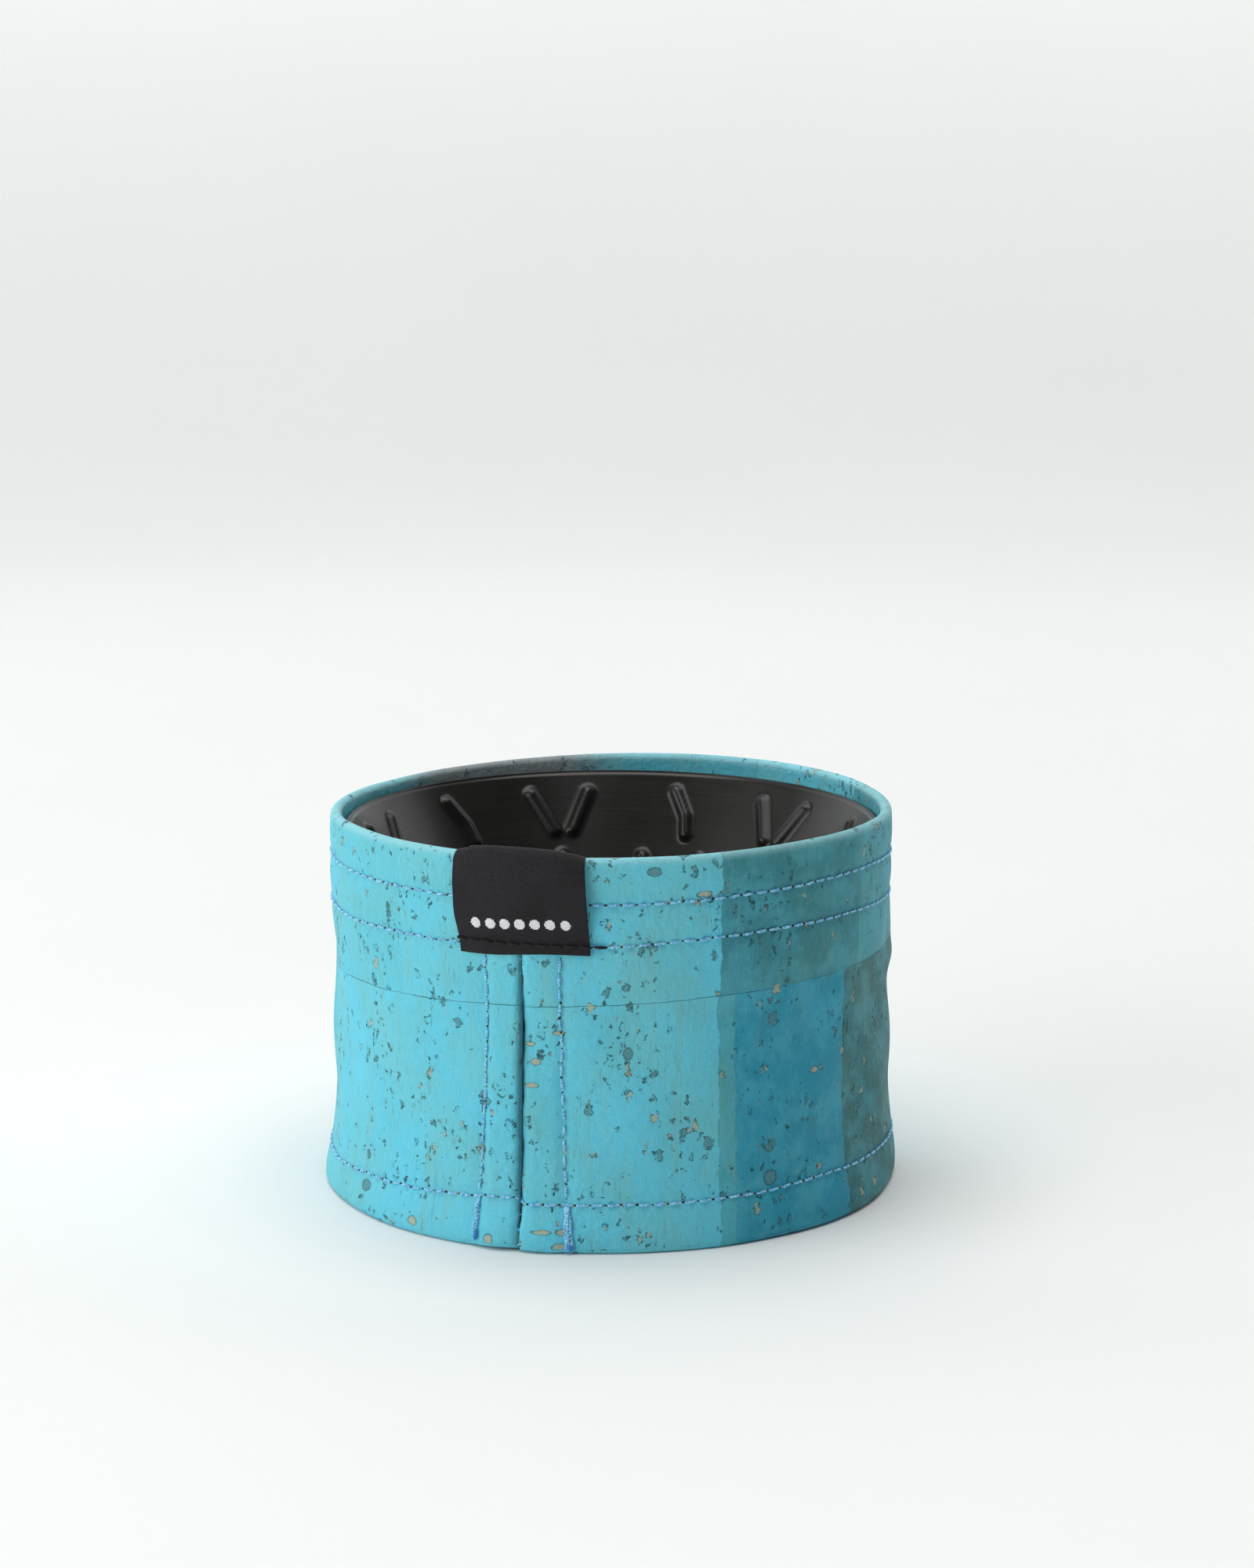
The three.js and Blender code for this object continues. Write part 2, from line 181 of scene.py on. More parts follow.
class Shader:
    """A material, and short calls that add nodes to it."""

    def __init__(self, name, **sockets):
        self.material = bpy.data.materials.new(name)
        self.material.use_nodes = True
        self.tree = self.material.node_tree
        self.surface = self.tree.nodes["Principled BSDF"]
        for socket, value in sockets.items():
            self.set(socket.replace("_", " "), value)

    def put(self, socket, value):
        if isinstance(value, bpy.types.NodeSocket):
            self.tree.links.new(value, socket)
        elif socket.type == "RGBA":
            socket.default_value = srgb(*value)
        else:
            socket.default_value = value

    def set(self, socket, value):
        self.put(self.surface.inputs[socket], value)

    def node(self, kind, inputs, **settings):
        node = self.tree.nodes.new("ShaderNode" + kind)
        for setting, value in settings.items():
            setattr(node, setting, value)
        for socket, value in inputs.items():
            self.put(node.inputs[socket], value)
        return node

    def math(self, operation, *values):
        return self.node("Math", dict(enumerate(values)), operation=operation).outputs[0]

    times = partialmethod(math, "MULTIPLY")
    plus = partialmethod(math, "ADD")
    minus = partialmethod(math, "SUBTRACT")
    fma = partialmethod(math, "MULTIPLY_ADD")  # the first value times the second, plus the third
    absolute = partialmethod(math, "ABSOLUTE")
    sine = partialmethod(math, "SINE")
    snap = partialmethod(math, "SNAP")
    below = partialmethod(math, "LESS_THAN")
    above = partialmethod(math, "GREATER_THAN")

    def length(self, x, y):
        return self.math("SQRT", self.plus(self.times(x, x), self.times(y, y)))

    def between(self, value, low, high):
        return self.times(self.above(value, low), self.below(value, high))

    def vector(self, operation, first, second):
        return self.node("VectorMath", {0: first, 1: second}, operation=operation).outputs[0]

    def stretch(self, vector, factors):
        return self.vector("MULTIPLY", vector, factors)

    def split(self, vector):
        return self.node("SeparateXYZ", {0: vector}).outputs

    def step(self, value, start, end, low=0.0, high=1.0):
        inputs = {"Value": value, "From Min": start, "From Max": end, "To Min": low, "To Max": high}
        return self.node("MapRange", inputs, interpolation_type="SMOOTHSTEP").outputs[0]

    def mix(self, share, first, second, blend="MIX"):
        inputs = {0: share, 6: first, 7: second}
        return self.node("Mix", inputs, data_type="RGBA", blend_type=blend).outputs[2]

    def noise(self, vector, scale, detail=2.0, roughness=0.5, output="Fac"):
        inputs = {"Vector": vector, "Scale": scale, "Detail": detail, "Roughness": roughness}
        return self.node("TexNoise", inputs).outputs[output]

    def cloth(self):
        """The place on the flat cloth, in millimetres."""
        spread = self.node("UVMap", {}, uv_map="cloth").outputs[0]
        return self.stretch(spread, (MAP_UNIT, MAP_UNIT, 0.0))

    def place(self):
        """The place in the object, in millimetres."""
        own = self.node("TexCoord", {}).outputs["Object"]
        return self.stretch(own, (1 / MM, 1 / MM, 1 / MM))

    def relief(self, height, depth, strength):
        """Bumps from a height between 0 and 1 that stands for a depth in millimetres."""
        inputs = {"Height": height, "Distance": depth * MM, "Strength": strength}
        self.set("Normal", self.node("Bump", inputs).outputs[0])


# ---- materials ----
def blots(s, cloth, cell, share, least, most, stretch, seed):
    """Scattered blots. Returns how far inside one a place is, in millimetres, and its random numbers."""
    moved = s.vector("ADD", cloth, (seed * 13.7, seed * 31.1, 0.0))
    scaled = s.stretch(moved, (1 / cell, 1 / (cell * stretch), 0.0))
    settings = {"Vector": scaled, "Scale": 1.0, "Randomness": 0.95}
    cells = s.node("TexVoronoi", settings, voronoi_dimensions="2D").outputs
    chance = s.node("SeparateColor", {"Color": cells["Color"]}).outputs
    size = s.fma(chance[1], most - least, least)
    depth = s.minus(size, s.times(cells["Distance"], cell))
    absent = s.times(s.above(chance[0], share), 10.0)
    return s.minus(depth, absent), chance


def rectangle(s, across, above, left, right, bottom, top, soft):
    """1 inside a rectangle of the cloth: left and right in degrees, bottom and top in millimetres."""
    sides = s.times(s.step(across, left, left + soft), s.step(across, right, right - soft))
    ends = s.times(s.step(above, bottom, bottom + soft), s.step(above, top, top - soft))
    return s.times(sides, ends)


# Sheets of cork veneer above and below the level joint: left and right in degrees, how much of their own
# dye they show, and the dye. The olive and teal sheets on the right, from 38 to 128 degrees above the joint
# and 70 to 108 below it, are dyed darker partly as painted shade of the side turned from the key light.
UPPER_VENEERS_AND_SHADE = [
    (38.3, 76.0, 0.76, (42, 110, 117)),
    (76.0, 128.0, 0.6, (48, 120, 126)),
    (162.0, 218.0, 0.4, (58, 158, 178)),
    (296.0, 331.0, 0.2, (84, 180, 190)),
]
LOWER_VENEERS_AND_SHADE = [
    (38.0, 41.3, 0.6, (62, 144, 150)),
    (41.3, 70.0, 0.86, (28, 142, 172)),
    (70.0, 108.0, 0.88, (50, 98, 96)),
    (108.0, 149.0, 0.3, (62, 164, 180)),
    (149.0, 183.0, 0.5, (72, 156, 162)),
    (183.0, 221.0, 0.7, (52, 158, 190)),
    (221.0, 263.0, 0.4, (82, 160, 164)),
    (263.0, 296.0, 0.3, (66, 170, 190)),
]
BAND = 60.0  # a veneer's height above or below the joint, which is more than the sleeve's
# Marks that stand out near the front: degrees, millimetres up, half width and half height; 1 for bare
# straw-coloured cork and 0 for a stone-coloured pit.
MARKS = [
    (6.8, 42.6, 1.1, 0.5, 1), (1.2, 40.3, 1.0, 0.5, 1), (2.4, 36.8, 1.0, 0.6, 1), (1.6, 32.3, 1.3, 0.45, 1),
    (3.9, 4.3, 1.8, 0.45, 1), (7.7, 4.3, 1.2, 0.6, 1), (7.4, 1.5, 1.6, 0.7, 1), (353.8, 1.8, 0.9, 1.2, 1),
    (336.5, 2.6, 1.0, 0.8, 1), (34.7, 68.6, 1.5, 0.6, 1), (60.6, 31.4, 0.9, 0.7, 1),
    (48.8, 12.3, 1.4, 1.5, 0), (20.1, 38.6, 0.9, 1.2, 0), (25.0, 73.4, 1.3, 0.8, 0),
    (321.0, 5.7, 1.5, 1.0, 0),
]


# Layers of blots: cell, share of cells with a blot, least and most radius, upright stretch, seed.
BLOTS = [
    (6.2, 0.46, 0.4, 0.95, 1.2, 1),
    (4.2, 0.54, 0.25, 0.65, 1.5, 2),
    (3.0, 0.52, 0.14, 0.44, 1.3, 3),
    (1.7, 0.34, 0.07, 0.24, 1.2, 4),
]
BARE_SHARE = 0.24  # of the blots: bare straw-coloured cork
PITTED_SHARE = 0.5  # of the blots: stone-coloured pits
JOINT_HEIGHT = 46.8  # of the level joint between veneers, which is tilted by this much to either side:
JOINT_TILT = 2.6


def base_dye(s, cloth, drawn):
    """Cloudy turquoise with paler upright streaks."""
    clouds = s.noise(cloth, 0.06, 4.0, 0.6)
    streaks = s.noise(drawn, 0.42, 3.0, 0.6)
    colour = s.mix(s.step(clouds, 0.35, 0.65), (100, 204, 228), (108, 199, 212))
    return s.mix(s.step(streaks, 0.5, 0.68, 0.0, 0.4), colour, (120, 190, 192))


def veneers_and_painted_shade(s, colour, cloth, across, up):
    """Sheets of cork that meet in fine dark joints, each dyed a little differently; the right-hand sheets
    are dyed darker partly as painted shade.
    """
    patches = s.noise(s.vector("ADD", cloth, (0.0, 55.0, 0.0)), 0.11, 3.0, 0.6)
    waver = s.noise(cloth, 0.3, 2.0)
    tilt = s.sine(s.times(s.plus(across, 12.0), math.pi / 180))
    above = s.minus(up, s.fma(tilt, JOINT_TILT, JOINT_HEIGHT))
    above = s.fma(waver, 0.4, s.minus(above, 0.2))
    wavy = s.fma(waver, 1.6, s.minus(across, 0.8))
    joint = s.step(s.absolute(above), 0.1, 0.02, 0.0, 0.9)
    for veneers, bottom, top in ((UPPER_VENEERS_AND_SHADE, 0.0, BAND), (LOWER_VENEERS_AND_SHADE, -BAND, 0.0)):
        for left, right, share, dye in veneers:
            inside = rectangle(s, wavy, above, left, right, bottom, top, 0.1)
            edge = s.step(s.absolute(s.minus(wavy, left)), 0.13, 0.02)
            edge = s.times(edge, s.between(above, bottom, top))
            joint = s.math("MAXIMUM", joint, s.times(edge, 0.45))
            patchy = s.step(patches, 0.38, 0.6, share * 0.74, share)
            # on the right-hand sheets this dye is partly painted shade
            colour = s.mix(s.times(inside, patchy), colour, dye)
    return colour, joint


def worn_dye(s, colour, cloth, across, up, grain):
    """A paler crest, the hem's undyed stretch at the back, upright grain and faded streaks."""
    # paler along the crest of the fold at the mouth
    paler_crest = s.times(s.step(up, 74.2, 76.0, 0.0, 0.5), s.step(up, 79.4, 77.8))
    colour = s.mix(paler_crest, colour, (166, 214, 218))
    undyed = s.times(s.step(across, 192.0, 210.0), s.step(across, 258.0, 236.0))
    undyed = s.times(undyed, s.step(up, 71.0, 74.0))
    colour = s.mix(s.times(undyed, 0.92), colour, (150, 151, 152))
    colour = s.mix(s.step(grain, 0.5, 0.8, 0.0, 0.28), colour, (56, 142, 162))
    colour = s.mix(s.step(grain, 0.48, 0.25, 0.0, 0.22), colour, (124, 206, 218))
    bent = s.stretch(s.noise(cloth, 0.11, 1.0, output="Color"), (9.0, 0.0, 0.0))
    drawn_out = s.stretch(s.vector("ADD", cloth, bent), (1.0, 0.035, 1.0))
    faded = s.noise(drawn_out, 0.8, 3.0, 0.55)
    return s.mix(s.step(faded, 0.56, 0.8, 0.0, 0.26), colour, (126, 170, 154))


def marked(s, colour, cloth, across_mm, up):
    """Cork's own marks: pits, bare patches, outlines and specks, closer together in some places."""
    wander = s.vector("SUBTRACT", s.noise(cloth, 0.75, 4.0, 0.62, "Color"), (0.5, 0.5, 0.5))
    ragged = s.vector("ADD", cloth, s.stretch(wander, (3.0, 4.4, 0.0)))
    mottle = s.noise(cloth, 3.4, 3.0, 0.75)
    crowd = s.step(s.noise(cloth, 0.07, 2.0), 0.4, 0.62, -0.35, 0.12)
    stone = s.mix(s.step(mottle, 0.35, 0.65), (62, 112, 122), (106, 156, 160))
    straw = s.mix(s.step(mottle, 0.3, 0.7), (190, 186, 156), (156, 170, 148))
    pits = 0.0
    for cell, share, least, most, stretch, seed in BLOTS:
        depth, chance = blots(s, ragged, cell, share, least, most, stretch, seed)
        depth = s.plus(depth, crowd)
        inside = s.step(depth, 0.0, 0.1)
        rim = s.times(s.step(depth, -0.15, 0.0), s.step(depth, 0.24, 0.06))
        bare = s.below(chance[2], BARE_SHARE)
        pitted = s.between(chance[2], BARE_SHARE, BARE_SHARE + PITTED_SHARE)
        colour = s.mix(s.times(s.times(inside, pitted), 0.75), colour, stone)
        colour = s.mix(s.times(s.times(inside, bare), 0.7), colour, straw)
        broken = s.times(rim, s.step(s.noise(cloth, 1.1, 1.0), 0.4, 0.6, 0.0, 0.8))
        colour = s.mix(broken, colour, (34, 86, 96))
        hollow = s.plus(s.times(inside, s.plus(pitted, 0.35)), broken)
        pits = s.plus(pits, s.times(hollow, 0.5))
    bent_across = s.fma(s.split(wander)[0], 1.1, across_mm)
    bent_up = s.fma(s.split(wander)[1], 1.1, up)
    for angle, height, half_width, half_height, bare in MARKS:
        centre = (angle - SEAM_ANGLE) * DEGREE
        x = s.times(s.minus(bent_across, centre), 1 / half_width)
        y = s.times(s.minus(bent_up, height), 1 / half_height)
        reach = s.length(x, y)
        inside = s.step(reach, 1.05, 0.9)
        rim = s.times(s.step(reach, 0.82, 0.96), s.step(reach, 1.2, 1.04))
        colour = s.mix(s.times(inside, 0.85), colour, straw if bare else stone)
        colour = s.mix(s.times(rim, 0.55), colour, (30, 80, 90))
        pits = s.fma(inside, 0.4, pits)
    return colour, pits


def cork_fabric():
    s = Shader("dyed_cork_fabric", Specular_IOR_Level=0.18)
    cloth = s.cloth()
    across_mm, up, _ = s.split(cloth)
    across = s.fma(across_mm, 1 / DEGREE, SEAM_ANGLE)
    drawn = s.stretch(cloth, (1.0, 0.07, 1.0))
    hairs = s.stretch(cloth, (1.0, 0.16, 1.0))
    grain = s.noise(hairs, 2.4, 3.0, 0.65)
    worn = s.noise(cloth, 0.12, 2.0)
    colour, joint = veneers_and_painted_shade(s, base_dye(s, cloth, drawn), cloth, across, up)
    colour = worn_dye(s, colour, cloth, across, up, grain)
    joint = s.times(joint, s.step(worn, 0.3, 0.6, 0.45, 1.0))
    colour = s.mix(joint, colour, (34, 88, 94))
    colour, pits = marked(s, colour, cloth, across_mm, up)

    # hairline cracks where the cork is worn
    field = s.noise(s.vector("ADD", drawn, (40.0, 7.0, 0.0)), 0.36, 3.0, 0.6)
    crack = s.absolute(s.minus(field, 0.5))
    cracks = s.times(s.step(crack, 0.008, 0.001), s.step(worn, 0.5, 0.64, 0.0, 0.35))
    s.set("Base Color", s.mix(cracks, colour, (104, 118, 98)))
    s.set("Roughness", s.step(s.plus(grain, pits), 0.4, 1.5, 0.58, 0.85))
    sunk = s.fma(pits, 0.8, s.times(s.plus(joint, cracks), 0.3))
    height = s.fma(grain, 0.07, s.minus(0.7, sunk))
    height = s.fma(s.noise(cloth, 0.45, 3.0, 0.6), 1.1, height)
    s.relief(height, 0.34, 1.0)
    return s.material


def speckled(name, grain, dark, light, span, relief=(), **sockets):
    """A small material: one noise between two colours, perhaps with its relief as (depth, strength)."""
    s = Shader(name, **sockets)
    noise = s.noise(s.place(), *grain)
    s.set("Base Color", s.mix(s.step(noise, *span), dark, light))
    if relief:
        s.relief(noise, *relief)
    return s.material


def thread(name, dark, light, gloss, shine):
    """Twisted polyester thread, with fine fibres round each ply. On the blue thread the near-white fibres
    are also painted glints.
    """
    sockets = {"Roughness": gloss, "Specular_IOR_Level": shine}
    return speckled(name, (2.6, 2.0, 0.6), dark, light, (0.36, 0.62), (0.08, 0.6), **sockets)


DOT_ROW = 62.9  # the way up the cloth of the row of woven dots
DOT_PITCH = 2.9
DOT_RADIUS = 1.0
DOTS = 7
TWILL_PITCH = 0.42
PICK_PITCH = 0.23
DOT_STEP = 0.22  # a dot's edge steps from one woven thread to the next


def label_satin():
    """Black twill satin with a plain row of white woven dots; its raised twill is painted lighter as sheen,
    the hollows between near black as painted shade.
    """
    s = Shader("black_woven_satin", Specular_IOR_Level=0.2)
    cloth = s.cloth()
    x, y, _ = s.split(cloth)
    diagonal = s.sine(s.times(s.plus(x, s.times(y, 0.8)), 2 * math.pi / TWILL_PITCH))
    picks = s.sine(s.times(s.minus(y, x), 2 * math.pi / PICK_PITCH))
    weave = s.fma(s.fma(picks, 0.4, diagonal), 0.35, 0.5)
    fuzz = s.noise(cloth, 2.2, 3.0, 0.8)
    cloudy = s.noise(cloth, 0.12, 2.0)
    # painted sheen on the raised twill, and painted shade in the hollows between it
    raised = s.step(s.fma(fuzz, 0.8, weave), 0.5, 1.35)
    colour = s.mix(raised, (2, 2, 3), (54, 53, 57))
    colour = s.mix(s.step(cloudy, 0.4, 0.7, 0.0, 0.35), colour, (20, 20, 22))
    column = s.snap(x, DOT_STEP)
    row = s.snap(s.minus(y, DOT_ROW), DOT_STEP)
    along = s.minus(column, s.snap(s.plus(column, DOT_PITCH / 2), DOT_PITCH))
    in_row = s.below(s.absolute(x), DOTS / 2 * DOT_PITCH)
    inside = s.times(s.below(s.length(along, row), DOT_RADIUS), in_row)
    white = s.mix(s.step(fuzz, 0.3, 0.7), (206, 208, 210), (240, 241, 242))
    s.set("Base Color", s.mix(inside, colour, white))
    s.set("Roughness", s.step(weave, 0.0, 1.0, 0.6, 0.85))
    s.relief(s.plus(s.fma(fuzz, 0.5, weave), s.times(inside, 0.8)), 0.05, 0.8)
    return s.material


def coated_metal():
    """Pressed sheet metal under a thin black coat: faint rings, cloudy gloss and fine orange peel."""
    s = Shader("black_coated_metal", Metallic=0.1, IOR=1.46)
    place = s.place()
    rings = s.noise(s.stretch(place, (0.05, 0.05, 6.0)), 1.0, 3.0, 0.65)
    clouds = s.noise(place, 0.05, 3.0, 0.6)
    orange_peel = s.noise(place, 1.6, 2.0, 0.5)
    colour = s.mix(s.step(rings, 0.3, 0.75), (26, 26, 24), (37, 36, 34))
    colour = s.mix(s.step(clouds, 0.45, 0.75, 0.0, 0.4), colour, (28, 27, 25))
    s.set("Base Color", colour)
    s.set("Roughness", s.step(s.fma(rings, 0.3, clouds), 0.4, 0.9, 0.26, 0.34))
    s.relief(orange_peel, 0.012, 0.4)
    return s.material


def felt():
    s = Shader("undyed_felt", Sheen_Weight=0.3)
    place = s.place()
    fibres = s.noise(s.vector("ADD", place, (0.0, 0.0, 3.0)), 1.4, 4.0, 0.75)
    lumps = s.noise(place, 0.25, 2.0)
    pale = s.step(s.plus(fibres, lumps), 0.6, 1.4)
    s.set("Base Color", s.mix(pale, (148, 142, 130), (204, 199, 187)))
    s.set("Roughness", s.step(fibres, 0.2, 0.8, 0.85, 1.0))
    s.relief(fibres, 0.5, 0.8)
    return s.material


def silicone():
    s = Shader("black_silicone", IOR=1.41)
    place = s.place()
    skin = s.noise(place, 3.0, 3.0, 0.6)
    dust = s.noise(place, 0.7, 4.0, 0.7)
    s.set("Base Color", s.mix(s.step(dust, 0.55, 0.8, 0.0, 0.5), (24, 24, 26), (46, 45, 45)))
    s.set("Roughness", s.step(dust, 0.3, 0.8, 0.5, 0.72))
    s.relief(skin, 0.04, 0.5)
    return s.material


# Each look is a material and the slot it fills.
CORK = cork_fabric(), "cork_fabric"
# Needle holes: their dark colour is painted shade of the holes' hollows, which the wall lacks; the brownish
# flecks are raw cork at their edges.
painted_hole_shade = speckled("needle_hole_shade", (5.0, 2.0), (10, 26, 34), (84, 76, 62), (0.4, 0.62), Roughness=1.0)
raw = speckled("cork_crumb", (4.0, 3.0), (96, 76, 56), (214, 196, 160), (0.4, 0.6), (0.15, 0.8),
               Roughness=0.9)
HOLE_SHADE = painted_hole_shade, "cork_fabric"
CRUMB = raw, "cork_fabric"
# The blue thread's paler fibre colour is near white: partly the thread's own pale blue, partly painted
# glints on its plies.
BLUE_THREAD = thread("blue_thread_and_painted_glints", (58, 158, 216), (166, 232, 255), 0.24, 0.8), "blue_thread"
# A darker, more saturated copy of the blue thread: painted shade where strands overlap at the back tacks'
# ends.
SHADED_THREAD = thread("shaded_blue_thread", (12, 108, 186), (64, 160, 220), 0.36, 0.6), "blue_thread"
BLACK_THREAD = thread("black_thread", (4, 4, 5), (18, 18, 20), 0.55, 0.35), "black_thread"
LABEL = label_satin(), "label_satin"
METAL = coated_metal(), "coated_metal"
FELT = felt(), "felt"
SILICONE = silicone(), "silicone"


# ---- the sleeve's shape ----
# Heights of the crest, of the lines of stitches and of the foot's lift, at angles round the sleeve.
CREST = [
    (-166, 75.9), (-149, 75.5), (-130, 75.0), (-106, 74.7), (-75, 75.3), (-46, 76.0), (0, 76.0), (16, 76.0),
    (35, 76.3), (52, 76.6), (76, 76.6), (100, 76.0), (127, 76.2), (155, 76.4), (180, 76.2),
]
UPPER_LINE = [
    (-100, 66.8), (-51, 67.1), (0, 67.1), (15, 67.1), (35, 67.8), (58, 68.4), (78, 68.6), (100, 67.4),
    (130, 67.4), (180, 67.3),
]
LOWER_LINE = [
    (-100, 57.5), (-52, 57.6), (-18, 58.3), (15, 59.1), (35, 60.3), (58, 60.8), (78, 60.2), (100, 58.8),
    (130, 58.8), (180, 58.3),
]
FOOT_LINE = [
    (-100, 7.0), (-55, 7.0), (-19, 8.9), (5, 9.5), (35, 9.5), (59, 10.1), (88, 9.6), (130, 8.9), (180, 8.2),
]
FOOT_LIFT = [
    (-150, 0.3), (-100, 0.3), (-60, 0.1), (-20, 0.0), (40, 0.0), (60, 0.15), (85, 0.35), (110, 0.5),
    (150, 0.3), (180, 0.2),
]
# The outer wall's mean radius on the way up the cloth.
WALL = [
    (0, 57.8), (2, 58.0), (4, 58.0), (10, 57.3), (14, 56.9), (20, 56.35), (30, 56.1), (39, 55.8),
    (48, 55.9), (52, 56.3), (56, 56.5), (59.5, 56.35), (63.5, 56.7), (67.4, 56.45), (71, 56.75), (76, 56.6),
]


def wall_radius(way):
    """The outer wall's mean radius on the way up the cloth, rounded between the points that shape it."""
    places, radii = np.array(WALL).T
    fine = np.arange(-4, 84, 0.25)
    kernel = bump(np.arange(-12, 13), 0, 6)
    table = np.interp(np.arange(-7, 87, 0.25), places, radii)
    table = np.convolve(table, kernel / kernel.sum(), "valid")[: len(fine)]
    return np.interp(way, fine, table)


def seam_distance(angle):
    """Millimetres from the seam, positive towards the right-hand panel edge."""
    return ((angle - SEAM_ANGLE + 180) % 360 - 180) * DEGREE


def topstitch_distance(height):
    """How far each line of topstitching stands from the seam: it drifts outwards near the foot."""
    return np.interp(height, [0, 10, 30, 56], [9.5, 8.6, 7.7, 7.4])


TACK_TOP = 9.5


def tack_distance(side, height):
    """How far a back tack stands from the seam: only the right-hand one goes on drifting outwards."""
    if side > 0:
        return topstitch_distance(height)
    return topstitch_distance(TACK_TOP) - 0.03 * (TACK_TOP - height)


def signed_angle(angle):
    return (angle + 180) % 360 - 180


def foot_line(angle):
    """The height of the foot's line of stitches: the left panel's foot sits higher beside the seam."""
    signed = signed_angle(angle)
    return around(angle, FOOT_LINE) + 1.0 * bump(signed, 0, 13) * (signed < SEAM_ANGLE)


# Dents and bulges: how far out in mm; angle and spread in degrees; height and spread in mm; slope in mm to
# a degree. The last one is the left side's gentle bulge.
DENTS = [
    (0.8, 107, 15, 47, 6, 0), (0.85, 107, 16, 29, 10, 0), (0.55, 104, 11, 45, 2.2, 0.06),
    (-0.5, 84, 7, 40, 4, -0.1), (0.4, 66, 9, 30, 7, 0), (-0.35, 74, 6, 36, 8, 0), (-0.3, 98, 7, 16, 4, 0),
    (0.45, 30, 7, 52, 4, 0.2), (-0.4, 21, 6, 44, 5, 0.2), (0.3, -70, 10, 34, 9, 0),
    (-0.3, -48, 8, 26, 8, 0), (0.4, -73, 20, 52, 12, 0),
]


def waves(angle, height):
    """The soft fabric's slow waves, quieter at the stiff hems, its dents, and where its foot flares out."""
    a = np.radians(angle)
    soft = smoothstep(8, 24, height) * smoothstep(66, 50, height)
    slow = 0.22 * np.sin(2 * a + 0.6) + 0.14 * np.sin(3 * a - 0.05 * height + 2.0)
    quick = 0.2 * np.sin(7 * a + 0.13 * height) + 0.17 * np.sin(11 * a - 0.17 * height + 1.0)
    quick += 0.14 * np.sin(17 * a + 0.21 * height + 2.4)
    signed = signed_angle(angle)
    dents = 0.0
    for out, turn, width, level, tall, slope in DENTS:
        upright = bump(height - slope * (signed - turn), level, tall)
        dents = dents + out * bump(signed, turn, width) * upright
    flare = 1.5 * smoothstep(-84, -58, signed) * smoothstep(2, -6, signed)
    flare = flare + 0.8 * bump(signed, 4, 6) + 0.5 * bump(signed, 74, 18)
    return slow + quick * (0.35 + 0.65 * soft) + dents + flare * bump(height, 0, 6)


def wavy_wall(angle, way):
    """The outer wall's radius with its waves, before anything is sewn through it."""
    return wall_radius(way) + waves(angle, way)


HEM_DENT = 0.34  # how deep the hems' stitches pull in, and the seam's
SEAM_DENT = 0.26
LEFT_ROLL = 2.1  # how far from the seam each panel edge starts to roll into its valley
RIGHT_ROLL = 1.1
VALLEY = 1.5  # the depth where the two edges meet


def puckers(angle, height):
    """Dents along the stitches, raised seam allowances and edges that roll into the seam's valley."""
    wander = 0.12 * np.sin(0.55 * height + 0.4) + 0.08 * np.sin(1.37 * height + 2.0)
    away = seam_distance(angle) + wander * bump(seam_distance(angle), 0, 3)
    inward = 0.0
    for line in (around(angle, UPPER_LINE), around(angle, LOWER_LINE), foot_line(angle)):
        ripple = 0.8 + 0.2 * np.cos(2 * math.pi * angle * DEGREE / STITCH)
        inward = inward + HEM_DENT * bump(height, line, 1.1) * ripple
    for side in (-1, 1):
        inward = inward + SEAM_DENT * bump(away, side * topstitch_distance(height), 0.95)
    raised = 0.4 * smoothstep(8.2, 6.2, np.abs(away)) + 0.4 * bump(away, 2.0, 2.6) * (away > 0)
    radius = np.where(away > 0, RIGHT_ROLL, LEFT_ROLL)
    near = np.clip(radius - np.abs(away), 0, radius)
    valley = radius - np.sqrt(np.maximum(radius**2 - near**2, 0))
    return raised - inward - np.minimum(valley, VALLEY)


def crest_rise(angle, way):
    """How much higher the uneven crest lifts the cloth, from nothing below its middle."""
    return (around(angle, CREST) - SLEEVE_HEIGHT) * smoothstep(42, 75, way)


def lifted(angle, way):
    """The height of a place on the way up the cloth, since the mouth and foot aren't quite level."""
    signed = signed_angle(angle)
    foot = around(angle, FOOT_LIFT) + 0.45 * bump(signed, 0, 9) * (signed < SEAM_ANGLE)
    return way + crest_rise(angle, way) + foot * smoothstep(14, 2, way)


def outside(angle, height, off=0.0):
    """A point on the outer wall's surface, or a little off it."""
    way = height - crest_rise(angle, height)
    return polar(angle, wavy_wall(angle, way) + puckers(angle, height) + off, height)


def inside_hem(angle, height, off):
    """A point a little inside the visible inner face of a hem."""
    way = height - crest_rise(angle, height)
    return polar(angle, wavy_wall(angle, way) - HEM - off, height)


